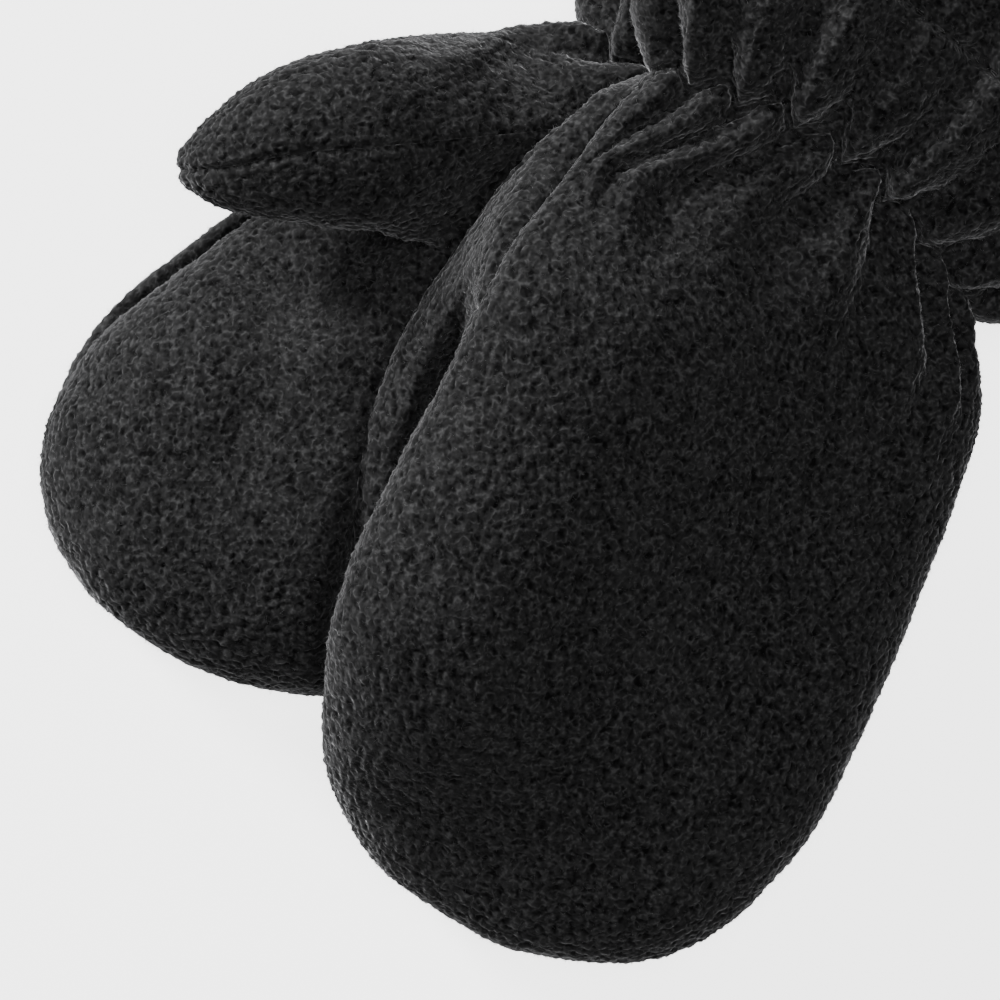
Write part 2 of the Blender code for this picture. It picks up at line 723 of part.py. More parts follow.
def cloth_pieces(body):
    """Each panel as a closed wall of cloth: {name: (points, faces)}, parted at its seams."""
    base = np.array(body.points)
    normals = vertex_normals(base, body.faces)
    ripple = np.array(body.ripples)[:, None]
    wall = np.array(body.walls)[:, None]
    outer = base + ripple * normals
    inner = base + INNER_RIPPLE * ripple * normals - wall * eased(normals, body.faces)
    floor = np.zeros(len(outer))
    if not body.mitten.palm_up:
        floor = np.maximum(lean_height(outer[:, :2]) + REST_GAP, 0.0)
    outer[:, 2] = np.maximum(outer[:, 2], floor)
    inner[:, 2] = np.maximum(inner[:, 2], floor + LEAST_LIFT)
    if body.mitten.palm_up:
        outer[:, 2] = np.minimum(outer[:, 2], body.ceiling(outer[:, :2]))
    owners = {}
    for corners, panel in zip(body.faces, body.panels):
        for corner in corners:
            owners.setdefault(corner, set()).add(panel)
    pieces = {}
    for panel in sorted(set(body.panels)):
        pieces[panel] = one_piece(body, panel, outer, inner, owners)
    return pieces


def one_piece(body, panel, outer, inner, owners):
    """One panel's outer and inner faces, joined along its edges."""
    faces = [corners for corners, owner in zip(body.faces, body.panels) if owner == panel]
    used = sorted({corner for corners in faces for corner in corners})
    centres = {corner: [] for corner in used}
    for corners in faces:
        middle = outer[list(corners)].mean(axis=0)
        for corner in corners:
            centres[corner].append(middle)
    number = {corner: i for i, corner in enumerate(used)}
    shifts = np.zeros((len(used), 3))
    for corner in used:
        if len(owners[corner]) > 1:
            inward = np.mean(centres[corner], axis=0) - outer[corner]
            shifts[number[corner]] = inward / np.linalg.norm(inward) * SEAM_GAP * SEAM_SHARE
    points = np.vstack([outer[used] + shifts, inner[used] + shifts])
    count = len(used)
    sides = {}
    closed = []
    for corners in faces:
        ring = [number[corner] for corner in corners]
        closed.append(ring)
        closed.append([count + i for i in reversed(ring)])
        for a, b in zip(ring, ring[1:] + ring[:1]):
            sides[(a, b)] = True
    for a, b in sides:
        if (b, a) not in sides:
            closed.append([b, a, count + a, count + b])
    return points, closed


def footprint(body):
    """The body's shadow in plan, for finding how far a place lies from it."""
    flat = [(point[0], point[1], 0.0) for point in body.points]
    return BVHTree.FromPolygons(flat, body.faces)


def fleece(name, colour):
    """The material of one piece."""
    material = bpy.data.materials.new(name)
    material.use_nodes = True
    shader = material.node_tree.nodes["Principled BSDF"]
    shader.inputs["Base Color"].default_value = (*colour, 1.0)
    shader.inputs["Roughness"].default_value = FLEECE_ROUGHNESS
    shader.inputs["Metallic"].default_value = 0.0
    return material


def make_object(name, points, faces, colour):
    """One piece of cloth as an object in the row frame."""
    centred = (points - (*PAIR_CENTRE, 0.0)) * MM
    mesh = bpy.data.meshes.new(name)
    mesh.from_pydata([tuple(point) for point in centred], [], faces)
    mesh.validate()
    mesh.materials.append(fleece(name, colour))
    mesh.shade_smooth()
    mesh.set_sharp_from_angle(angle=SHARP_EDGE)
    piece = bpy.data.objects.new(name, mesh)
    bpy.context.scene.collection.objects.link(piece)
    return piece


def main():
    """Clears the scene and lays out both mittens."""
    for old in list(bpy.data.objects):
        bpy.data.objects.remove(old, do_unlink=True)
    left = Body(LEFT)
    right = Body(RIGHT, footprint(left))
    for body in (left, right):
        for panel, (points, faces) in cloth_pieces(body).items():
            name = f"{body.mitten.name}_{panel}"
            make_object(name, points, faces, FLEECE_COLOURS[panel])


main()
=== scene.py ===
"""The looks of a pair of baby mittens in thick black fleece, lying one across the other.

Each mitten is sewn from a back, a palm, a heel and a cuff. The skin of a whole mitten is drawn
first, as one mesh of even cells, so that its pieces meet in their seams. Geometry Nodes sink
the seams and raise the pile, and then the skin is parted and each piece gets its inner side.

Sizes are in millimetres. A mitten is drawn in its own plan, where `along` runs from the wrist to
the fingertips and `across` from the index finger's side to the little finger's.
"""

import logging
import math
from dataclasses import dataclass
from enum import Enum
from functools import cached_property
from typing import ClassVar, NamedTuple, Optional, Sequence

import bpy
import numpy as np
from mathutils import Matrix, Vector
from mathutils.geometry import convex_hull_2d


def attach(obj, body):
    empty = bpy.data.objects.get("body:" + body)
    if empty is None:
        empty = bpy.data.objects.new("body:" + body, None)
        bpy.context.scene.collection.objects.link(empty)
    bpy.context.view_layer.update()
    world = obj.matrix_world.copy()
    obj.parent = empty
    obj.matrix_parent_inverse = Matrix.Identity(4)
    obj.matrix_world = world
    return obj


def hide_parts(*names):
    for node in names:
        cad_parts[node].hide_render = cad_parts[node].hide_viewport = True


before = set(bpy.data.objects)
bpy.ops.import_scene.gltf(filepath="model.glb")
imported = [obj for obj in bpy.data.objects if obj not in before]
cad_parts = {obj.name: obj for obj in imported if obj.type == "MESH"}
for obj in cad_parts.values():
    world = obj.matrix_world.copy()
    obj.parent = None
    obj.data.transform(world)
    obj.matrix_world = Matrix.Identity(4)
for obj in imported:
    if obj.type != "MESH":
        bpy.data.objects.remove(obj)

log = logging.getLogger("mittens")

MM = 0.001
FLEECE_WALL = 2.0
HEM_WALL = 3.2
SPAN_STEPS = 16  # steps of a curve between two of its given points

# The row frame's origin in the plan of the pair, in which the tables below are drawn.
PAIR_CENTRE = (18.38, 17.11)


class Part(Enum):
    """The cut pieces of one mitten."""

    BACK = 0
    PALM = 1
    HEEL = 2
    CUFF = 3

    @property
    def word(self) -> str:
        """The piece's name in the names of nodes and objects."""
        return self.name.lower()


HEM = len(Part)  # marks the cuff's turned hem next to the values of Part
OPEN = -1  # marks the cells of the thumb's root, where no piece lies


class Side(Enum):
    """Which panel of a mitten lies on top."""

    BACK_UP = "back up"
    PALM_UP = "palm up"


class Detail(Enum):
    """How often the cells of a skin are halved."""

    SHOWN = 2
    HIDDEN = 1


class EdgePoint(NamedTuple):
    """A point of the hand's edge, where the back and the palm meet."""

    place: str
    along: float
    across: float


class Gather(NamedTuple):
    """A ridge that the elastic raises."""

    at_wrist: float  # share of the hand's width
    fades_at: float  # share of the width where it fades
    height: float
    reach: float


class CuffFold(NamedTuple):
    """A ridge of the cuff, which starts in a valley of the hand's gathers."""

    height: float
    reach: float


class ThumbSection(NamedTuple):
    """An oval cut through the thumb."""

    along: float
    across: float
    height: float
    half_width: float
    half_depth: float


class Fold(NamedTuple):
    """A soft ridge (+) or trough (-) between two places of a mitten's drawing."""

    start: tuple[float, float]
    end: tuple[float, float]
    height: float
    width: float
    upper: bool = True


class ThumbRoom(NamedTuple):
    """The space that the thumb takes over or under the hand."""

    height: float
    starts: float
    full_from: float
    full_to: float
    ends: float
    side: float
    full_side: float


HAND_EDGE = (
    EdgePoint("index wrist", -6.3, -27.7),
    EdgePoint("index heel", 3.0, -30.2),
    EdgePoint("index root", 13.0, -32.4),
    EdgePoint("index knuckle", 24.3, -35.8),
    EdgePoint("index middle", 44.2, -37.0),
    EdgePoint("index finger", 72.3, -39.4),
    EdgePoint("index bend", 90.2, -35.5),
    EdgePoint("index corner", 101.5, -29.6),
    EdgePoint("index tip", 109.9, -18.4),
    EdgePoint("tip", 113.5, 0.0),
    EdgePoint("little tip", 109.5, 16.6),
    EdgePoint("little corner", 102.3, 26.2),
    EdgePoint("little bend", 90.5, 32.7),
    EdgePoint("little finger", 76.0, 36.0),
    EdgePoint("little middle", 46.0, 36.5),
    EdgePoint("little root", 20.0, 34.8),
    EdgePoint("little wrist", 6.8, 28.5),
)
HAND_LENGTH = 117.0  # from the wrist round to the fingertips' corner

# The lower mitten is cut the same, but its fingertips are bent to one side as it lies.
BENT_EDGE = (
    EdgePoint("index wrist", 0.3, -28.0),
    EdgePoint("index heel", 5.0, -30.2),
    EdgePoint("index root", 13.0, -32.2),
    EdgePoint("index knuckle", 24.3, -33.6),
    EdgePoint("index middle", 44.2, -34.4),
    EdgePoint("index finger", 72.3, -35.5),
    EdgePoint("index bend", 88.0, -34.9),
    EdgePoint("index corner", 101.0, -29.5),
    EdgePoint("index tip", 109.6, -19.1),
    EdgePoint("tip", 112.1, -5.0),
    EdgePoint("little tip", 107.9, 9.6),
    EdgePoint("little corner", 101.7, 20.6),
    EdgePoint("little bend", 90.7, 30.6),
    EdgePoint("little finger", 76.0, 34.4),
    EdgePoint("little middle", 46.0, 34.4),
    EdgePoint("little root", 20.0, 31.4),
    EdgePoint("little wrist", 4.5, 28.0),
)


@dataclass(frozen=True)
class Cut:
    """How both mittens are cut: rows, gathers, rounding and the draw of the elastic."""

    hand_stops: tuple[float, ...] = (0, 4, 12, 42, 98, 112, HAND_LENGTH)
    hand_cells: tuple[int, ...] = (4, 6, 18, 34, 10, 6)  # cells between two stops
    cuff_stops: tuple[float, ...] = (0, 5, 14, 21, 38.4)
    cuff_cells: tuple[int, ...] = (5, 6, 5, 11)
    hem_line: float = 21.0
    gather_cells: int = 8
    flare_at: tuple[float, ...] = (0.0, 1.8, 5.0, 11.0, 19.0, 27.0, 40.0)  # from the wrist
    flare_spread: tuple[float, ...] = (0.0, 1.4, 5.0, 10.0, 12.5, 13.5, 14.0)  # to each side
    flare_crown: tuple[float, ...] = (1.0, 1.1, 1.3, 1.45, 1.45, 1.4, 1.35)  # against the wrist's
    top_rounding: float = 25.0
    under_rounding: float = 12.0
    draw: float = 0.7  # how far the elastic draws the upper panel in
    draw_reach: float = 3.0
    scallop: float = 2.5  # how far the wrist's seam swings between ridge and valley
    scallop_reach: float = 7.0
    under_draw: float = 0.6  # share of the draw that the under panel takes
    thumb_root: tuple[float, float] = (12.0, 42.0)  # from the wrist
    thumb_rings: int = 22
    lead_rings: int = 14
    root_ease: float = 0.2  # how straight the thumb leaves its root
    lead_ease: float = 0.6  # and how straight it reaches its first section
    hem_turn: tuple[float, ...] = (35.0, 70.0, 105.0, 140.0)  # degrees round the fold
    cuff_waist: float = 0.6  # share of the hand's gathers that is left at the wrist
    cuff_turnover: float = 3.2  # where the hand's ridges have turned into the cuff's valleys
    cuff_fade: float = 0.65  # share of a cuff fold that is gone where it ends
    ridge_power: float = 1.45  # more makes a ridge broader and the valley beside it narrower
    valley_lean: float = 0.36  # how far from one ridge to the next the valley between them lies
    hand_fade: float = 0.15  # share of a gather's reach where it starts to fade
    fold_fade: float = 0.25  # share of a cuff fold's reach where it starts to fade
    waist_over: tuple[float, float] = (0.0, 2.0)  # where the gathers rise to their height
    spread_over: tuple[float, float] = (0.0, 18.0)  # where the gathers part
    evened_over: tuple[float, float] = (14.0, 44.0)  # where the columns turn even
    tip_over: tuple[float, float] = (98.0, HAND_LENGTH)  # where they turn round the fingertips
    full_turn: float = 3.0  # width over which a full panel turns outward beside the seam
    full_level: float = 0.45  # share of its fullness that stays level with the seam
    full_over: tuple[float, float] = (4.0, 26.0)  # where its fullness ends, inward
    lift_over: tuple[float, float] = (8.0, 30.0)  # where the heel's seam rises, index side
    roll_over: tuple[float, ...] = (0.0, 1.4, 2.5, 9.0)  # where the roll starts, is full and ends
    roll_side: tuple[float, float] = (-8.0, 8.0)
    roll_along: tuple[float, float] = (8.0, 20.0)
    hollow_over: tuple[float, float] = (4.2, 9.0)  # where the thumb's side sinks in
    tip_closing: tuple[float, ...] = (35.0, 62.0, 82.0)  # degrees, the thumb's last rings
    root_evened: tuple[float, float] = (2.0, 6.0)  # wholly and no further from the thumb's root
    root_rounds: int = 12
    lining_rounds: int = 4  # how often the directions of the inner side are evened
    lining_share: float = 0.5  # how much of the folds the inner side follows
    seam_blend: float = 1.0  # rounding where the mitten above presses the seam or the thumb
    top_blend: float = 4.0  # and where it presses the upper panel

    def rows(self, stops: Sequence[float], cells: Sequence[int]) -> np.ndarray:
        """Distances from the wrist of every row of points.

        Args:
            stops: distances that a row has to lie on.
            cells: how many cells lie between one stop and the next.

        Returns:
            The distances, from the first stop to the last.
        """
        runs = [
            np.linspace(start, end, count, endpoint=False)
            for start, end, count in zip(stops, stops[1:], cells)
        ]
        return np.concatenate([*runs, [stops[-1]]])

    @property
    def hand_rows(self) -> np.ndarray:
        """The hand's rows."""
        return self.rows(self.hand_stops, self.hand_cells)

    @property
    def cuff_rows(self) -> np.ndarray:
        """The cuff's rows, up to where its hem turns in."""
        return self.rows(self.cuff_stops, self.cuff_cells)


@dataclass(frozen=True)
class Lean:
    """The sloping plane on which the upper mitten leans on the lower one."""

    point: tuple[float, float] = (38.5, 23.0)
    height: float = 9.5
    slope: float = 0.35
    downhill: tuple[float, float] = (0.62, -0.785)
    blend: float = 4.0
    gap: float = 0.15
    open_slope: float = 1.2
    side_rise: float = 4.5  # how far the upper mitten's round side stands off the plane
    side_reach: float = 8.0

    def at(self, places: np.ndarray) -> np.ndarray:
        """Height of the plane over places in the pair's plan."""
        return self.height - self.slope * ((places - self.point) @ np.asarray(self.downhill))


@dataclass(frozen=True)
class MittenShape:
    """Sizes of one mitten: where it lies, its gathers, its thumb and its folds."""

    name: str
    side: Side
    centre: tuple[float, float]  # the drawing's origin in the pair's plan
    heading: tuple[float, float]  # where its fingers point
    scale: float
    wrist: tuple[tuple[float, float], ...]  # the wrist's seam, along and across
    cuff_turn: float  # degrees
    seam_height: float
    crown: tuple[tuple[float, float], ...]  # along, and the upper panel's height over the seam
    back_gathers: tuple[Gather, ...]
    palm_gathers: tuple[Gather, ...]
    cuff_folds: tuple[CuffFold, ...]
    thumb_columns: tuple[float, float]  # in quarters of a gather
    thumb: tuple[ThumbSection, ...]
    thumb_tip: tuple[float, float, float]  # along, across and height
    heel_bulge: tuple[tuple[float, float], ...]  # along, and how proud the palm side stands
    back_bulge: tuple[tuple[float, float], ...]  # the same for the back's side
    heel_seam: float  # how far the seam lies higher beside the heel
    thumb_room: ThumbRoom
    thumb_twist: float  # degrees round its own middle
    thumb_hollow: float  # how far its upper side sinks in, against its half depth
    roll: float  # how far the under panel swells beside the seam
    roll_from: tuple[float, float]
    edge: tuple[EdgePoint, ...] = HAND_EDGE
    folds: tuple[Fold, ...] = ()
    hidden: tuple[Part, ...] = ()

    @property
    def palm_up(self) -> bool:
        """Whether the palm lies on top."""
        return self.side is Side.PALM_UP


LEFT = MittenShape(
    name="left",
    side=Side.BACK_UP,
    centre=(42.7, 42.1),
    heading=(-0.38, -0.925),
    scale=1.0,
    wrist=((-6.3, -27.7), (-7.4, -13.9), (-7.6, -5.7), (-5.9, 1.9), (-3.2, 10.1), (6.8, 28.5)),
    cuff_turn=14.0,
    seam_height=7.5,
    crown=((-8, 8.0), (8, 10.5), (28, 13.0), (62, 15.0), (92, 14.0), (114, 12.5)),
    back_gathers=(
        Gather(0.073, 0.012, 1.3, 15.0),
        Gather(0.187, 0.045, 1.6, 24.0),
        Gather(0.318, 0.120, 1.9, 33.0),
        Gather(0.455, 0.310, 1.8, 26.0),
        Gather(0.585, 0.550, 2.2, 34.0),
        Gather(0.715, 0.800, 1.6, 30.0),
        Gather(0.840, 0.925, 1.4, 30.0),
        Gather(0.956, 0.985, 0.9, 18.0),
    ),
    palm_gathers=(
        Gather(0.070, 0.050, 0.8, 10.0),
        Gather(0.200, 0.140, 1.2, 14.0),
        Gather(0.320, 0.260, 1.3, 18.0),
        Gather(0.450, 0.410, 1.1, 15.0),
        Gather(0.570, 0.570, 1.3, 20.0),
        Gather(0.700, 0.730, 1.2, 16.0),
        Gather(0.820, 0.870, 1.1, 14.0),
        Gather(0.930, 0.960, 0.8, 10.0),
    ),
    cuff_folds=(
        CuffFold(1.0, 26.0),
        CuffFold(1.9, 36.0),
        CuffFold(1.4, 24.0),
        CuffFold(2.5, 38.0),
        CuffFold(1.8, 28.0),
        CuffFold(2.9, 38.0),
        CuffFold(1.7, 24.0),
        CuffFold(2.4, 36.0),
        CuffFold(1.0, 20.0),
    ),
    thumb_columns=(1, 12),
    thumb=(
        ThumbSection(44.0, -32.0, 4.9, 12.9, 4.7),
        ThumbSection(52.0, -32.2, 4.9, 12.3, 4.7),
        ThumbSection(60.0, -31.6, 4.8, 11.3, 4.6),
        ThumbSection(67.0, -31.0, 4.7, 9.8, 4.4),
        ThumbSection(72.5, -30.6, 4.6, 8.8, 4.0),
        ThumbSection(76.0, -30.4, 4.5, 5.4, 3.0),
    ),
    thumb_tip=(77.6, -30.3, 4.5),
    heel_bulge=((-6, 1.0), (0, 7.0), (8, 10.8), (16, 10.2), (24, 7.6), (30, 4.6), (38, 1.6), (46, 0.0)),
    back_bulge=((0, 0.0), (100, 0.0)),
    heel_seam=4.6,
    thumb_room=ThumbRoom(11.5, 0.0, 34.0, 74.0, 108.0, 26.0, -18.0),
    thumb_twist=45.0,
    thumb_hollow=1.15,
    roll=1.5,
    roll_from=(84.0, 104.0),
    hidden=(Part.PALM,),
)

RIGHT = MittenShape(
    name="right",
    side=Side.PALM_UP,
    centre=(26.8, 47.6),
    heading=(-0.784, -0.621),
    scale=0.9315,
    wrist=((0.3, -28.0), (-1.6, -14.0), (-2.0, 0.0), (-0.6, 14.0), (4.5, 28.0)),
    cuff_turn=6.0,
    seam_height=7.0,
    crown=((-8, 9.0), (8, 12.5), (28, 14.0), (62, 15.5), (92, 14.5), (114, 13.0)),
    back_gathers=(
        Gather(0.090, 0.060, 0.8, 10.0),
        Gather(0.250, 0.200, 1.1, 15.0),
        Gather(0.420, 0.390, 1.2, 18.0),
        Gather(0.590, 0.600, 1.1, 15.0),
        Gather(0.750, 0.800, 1.1, 16.0),
        Gather(0.910, 0.950, 0.8, 10.0),
    ),
    palm_gathers=(
        Gather(0.090, 0.050, 1.2, 12.0),
        Gather(0.260, 0.190, 1.8, 17.0),
        Gather(0.420, 0.380, 1.7, 20.0),
        Gather(0.590, 0.600, 1.8, 18.0),
        Gather(0.760, 0.810, 1.5, 20.0),
        Gather(0.910, 0.950, 1.1, 12.0),
    ),
    cuff_folds=(
        CuffFold(1.0, 24.0),
        CuffFold(1.5, 34.0),
        CuffFold(1.0, 22.0),
        CuffFold(1.4, 30.0),
        CuffFold(1.1, 22.0),
        CuffFold(1.3, 30.0),
        CuffFold(0.9, 20.0),
    ),
    thumb_columns=(1, 9),
    thumb=(
        ThumbSection(37.0, -32.3, 26.0, 13.6, 9.4),
        ThumbSection(43.5, -36.3, 27.2, 12.3, 9.3),
        ThumbSection(49.0, -39.0, 27.6, 10.4, 8.6),
        ThumbSection(53.5, -41.0, 27.3, 8.3, 7.4),
        ThumbSection(57.3, -43.0, 26.8, 5.9, 5.6),
        ThumbSection(59.6, -44.4, 26.3, 3.6, 3.4),
    ),
    thumb_tip=(61.2, -45.3, 26.0),
    heel_bulge=((-2, 0.0), (4, 2.5), (9, 4.8), (17, 7.2), (25, 6.0), (35, 0.0)),
    back_bulge=((14, 0.0), (26, 3.6), (62, 3.6), (80, 3.2), (98, 0.0)),
    heel_seam=0.0,
    thumb_room=ThumbRoom(6.0, 20.0, 32.0, 56.0, 72.0, -10.0, -24.0),
    thumb_twist=34.0,
    thumb_hollow=0.0,
    roll=1.8,
    roll_from=(-10.0, 0.0),
    edge=BENT_EDGE,
    folds=(
        Fold((8.0, -31.0), (20.0, -33.0), 1.2, 4.0),
        Fold((60.0, -18.0), (84.0, -6.0), -0.7, 9.0),
        Fold((30.0, 6.0), (58.0, -2.0), -0.8, 8.0),
        Fold((34.0, 12.0), (70.0, 20.0), -0.9, 8.0, upper=False),
        Fold((20.0, -14.0), (52.0, -20.0), 0.8, 7.0, upper=False),
    ),
    hidden=(Part.BACK,),
)


def smoothstep(value: np.ndarray, start: float, end: float) -> np.ndarray:
    """0 before start and 1 after end, with an even slope between."""
    part = np.clip((value - start) / (end - start), 0.0, 1.0)
    return part * part * (3.0 - 2.0 * part)


def smooth_max(a: np.ndarray, b: np.ndarray, radius: float) -> np.ndarray:
    """Never less than either, and round where they cross."""
    share = np.clip(0.5 + 0.5 * (a - b) / radius, 0.0, 1.0)
    return b * (1.0 - share) + a * share + radius * share * (1.0 - share)


def smooth_min(a: np.ndarray, b: np.ndarray, radius: float) -> np.ndarray:
    """Never more than either, and round where they cross."""
    return -smooth_max(-a, -b, radius)


def unit(vectors: np.ndarray) -> np.ndarray:
    """The vectors at length 1. One of length 0 stays as it is."""
    lengths = np.linalg.norm(vectors, axis=-1, keepdims=True)
    return vectors / np.where(lengths > 0.0, lengths, 1.0)


def through(points: Sequence[Sequence[float]], per_span: int = SPAN_STEPS) -> np.ndarray:
    """A smooth curve through points.

    Args:
        points: the points, with any number of values each.
        per_span: how many steps lie between one point and the next.

    Returns:
        The curve's points, with the given ones among them.
    """
    given = np.asarray(points, float)
    ends = np.vstack([2 * given[0] - given[1], given, 2 * given[-1] - given[-2]])
    t = np.linspace(0.0, 1.0, per_span, endpoint=False)[:, None]
    spans = [
        0.5 * (2 * b + (c - a) * t + (2 * a - 5 * b + 4 * c - d) * t**2 + (3 * b - a - 3 * c + d) * t**3)
        for a, b, c, d in zip(ends, ends[1:], ends[2:], ends[3:])
    ]
    return np.vstack([*spans, given[-1:]])


def along_curve(curve: np.ndarray, fractions: np.ndarray) -> np.ndarray:
    """Points on a polyline at these fractions of its length.

    Args:
        curve: the polyline's points.
        fractions: the fractions, from 0 to 1.

    Returns:
        A point for each fraction.
    """
    steps = np.linalg.norm(np.diff(curve, axis=0), axis=1)
    lengths = np.concatenate([[0.0], np.cumsum(steps)])
    wanted = np.asarray(fractions) * lengths[-1]
    return np.stack([np.interp(wanted, lengths, column) for column in curve.T], axis=-1)


def distance_to(curve: np.ndarray, points: np.ndarray) -> np.ndarray:
    """How far each point of a plan lies from a polyline.

    Args:
        curve: the polyline's points.
        points: the points of the plan.

    Returns:
        A distance for each point.
    """
    nearest = np.full(points.shape[:-1], np.inf)
    for start, end in zip(curve, curve[1:]):
        step = end - start
        offset = points - start
        share = np.clip((offset @ step) / (step @ step), 0.0, 1.0)
        nearest = np.minimum(nearest, np.linalg.norm(offset - share[..., None] * step, axis=-1))
    return nearest


def in_row(points: np.ndarray) -> np.ndarray:
    """Points of the pair's plan in millimetres, in the row's frame and metres."""
    return (points - (*PAIR_CENTRE, 0.0)) * MM


def rounding(distance: np.ndarray, reach: float) -> np.ndarray:
    """The quarter-round side of a panel: 0 at its edge and 1 from reach on."""
    part = 1.0 - np.clip(distance / reach, 0.0, 1.0)
    return np.sqrt(1.0 - part * part)


class MittenPlan:
    """The flat drawing of a mitten: where each row and column of its panels lies."""

    def __init__(self, shape: MittenShape, cut: Cut) -> None:
        """Draws the hand's edge and its wrist.

        Args:
            shape: the mitten's sizes.
            cut: how it is cut.
        """
        self.shape = shape
        self.cut = cut
        names = [point.place for point in shape.edge]
        edge = [(point.along, point.across) for point in shape.edge]
        edge[0], edge[-1] = shape.wrist[0], shape.wrist[-1]
        self.edge = through(edge)
        index_end = names.index("index corner") * SPAN_STEPS
        little_end = names.index("little corner") * SPAN_STEPS
        self.index_side = self.edge[: index_end + 1]
        self.tip_side = self.edge[index_end : little_end + 1]
        self.little_side = self.edge[little_end:][::-1]
        self.wrist = through(shape.wrist)
        self.forward = unit(np.asarray(shape.heading))
        self.sideways = np.array([-self.forward[1], self.forward[0]])

    def place(self, drawn: np.ndarray) -> np.ndarray:
        """Points of the drawing, put where the mitten lies in the pair's plan."""
        turned = drawn[..., :1] * self.forward + drawn[..., 1:2] * self.sideways
        return np.asarray(self.shape.centre) + self.shape.scale * turned

    def phases(self, gathers: Sequence[Gather]) -> np.ndarray:
        """Each column's place in the gathers: whole numbers are troughs, halves are ridges."""
        cells = self.cut.gather_cells * len(gathers)
        return np.arange(cells + 1) / self.cut.gather_cells

    def leaning(self, phase: np.ndarray, crests: Sequence[float]) -> np.ndarray:
        """Where each phase lies between the ridges, whose valleys keep close to one side.

        Args:
            phase: each column's place in the gathers.
            crests: where the ridges lie, as shares of the width.

        Returns:
            Shares of the width.
        """
        knots, shares = [0.0], [0.0]
        for number, crest in enumerate(crests):
            if number:
                knots.append(float(number))
                before = crests[number - 1]
                shares.append(before + self.cut.valley_lean * (crest - before))
            knots.append(number + 0.5)
            shares.append(crest)
        return np.interp(phase, [*knots, float(len(crests))], [*shares, 1.0])

    def columns(self, gathers: Sequence[Gather], distance: float) -> np.ndarray:
        """Where the columns cross a row.

        Args:
            gathers: the gathers of this side.
            distance: the row's distance from the wrist.

        Returns:
            Shares of the hand's width, from 0 to 1.
        """
        phase = self.phases(gathers)
        count = len(gathers)
        at_wrist = self.leaning(phase, [g.at_wrist for g in gathers])
        spread = self.leaning(phase, [g.fades_at for g in gathers])
        even = phase / count
        hand = 0.5 * even + 0.25 * (1.0 - np.cos(np.pi * even))
        shares = at_wrist + (spread - at_wrist) * smoothstep(distance, *self.cut.spread_over)
        shares = shares + (hand - shares) * smoothstep(distance, *self.cut.evened_over)
        return shares + (even - shares) * smoothstep(distance, *self.cut.tip_over)

    def hand(self, gathers: Sequence[Gather]) -> np.ndarray:
        """The hand's rows and columns in the drawing, wrist first.

        Args:
            gathers: the gathers of this side.

        Returns:
            The drawing's points, blended from the four sides of the hand.
        """
        rows = []
        for distance in self.cut.hand_rows:
            u = self.columns(gathers, distance)
            v = distance / HAND_LENGTH
            start, end = along_curve(self.wrist, u), along_curve(self.tip_side, u)
            left = along_curve(self.index_side, np.array([v]))[0]
            right = along_curve(self.little_side, np.array([v]))[0]
            u = u[:, None]
            corners = (1 - v) * ((1 - u) * self.wrist[0] + u * self.wrist[-1])
            corners = corners + v * ((1 - u) * self.tip_side[0] + u * self.tip_side[-1])
            rows.append((1 - v) * start + v * end + (1 - u) * left + u * right - corners)
        return np.array(rows)

    def cuff(self, gathers: Sequence[Gather]) -> np.ndarray:
        """The cuff's rows and columns in the drawing, from the wrist to the hem.

        Args:
            gathers: the gathers of this side.

        Returns:
            The drawing's points.
        """
        u = self.columns(gathers, 0.0)[:, None]
        start = along_curve(self.wrist, u[:, 0])
        turn = math.radians(self.shape.cuff_turn)
        axis = np.array([-math.cos(turn), math.sin(turn)])
        out = np.array([math.sin(turn), math.cos(turn)])
        spread = np.interp(self.cut.cuff_rows, self.cut.flare_at, self.cut.flare_spread)
        return np.array(
            [start + d * axis + (2 * u - 1) * s * out for d, s in zip(self.cut.cuff_rows, spread)]
        )


class Outline:
    """The taut outline of a body in the pair's plan."""

    def __init__(self, places: np.ndarray) -> None:
        """Draws the outline round these places.

        Args:
            places: points of the body in the pair's plan.
        """
        flat = [tuple(place) for place in places.reshape(-1, 2)]
        corners = np.array([flat[i] for i in convex_hull_2d(flat)])
        ahead = unit(np.roll(corners, -1, axis=0) - corners)
        self.corners = corners
        self.inward = np.column_stack([-ahead[:, 1], ahead[:, 0]])
        middle = corners.mean(axis=0)
        if np.sum((middle - corners) * self.inward) < 0.0:
            self.inward = -self.inward

    def depth(self, places: np.ndarray) -> np.ndarray:
        """How far each place lies inside the outline. It is negative outside."""
        offsets = places[..., None, :] - self.corners
        return np.min(np.sum(offsets * self.inward, axis=-1), axis=-1)


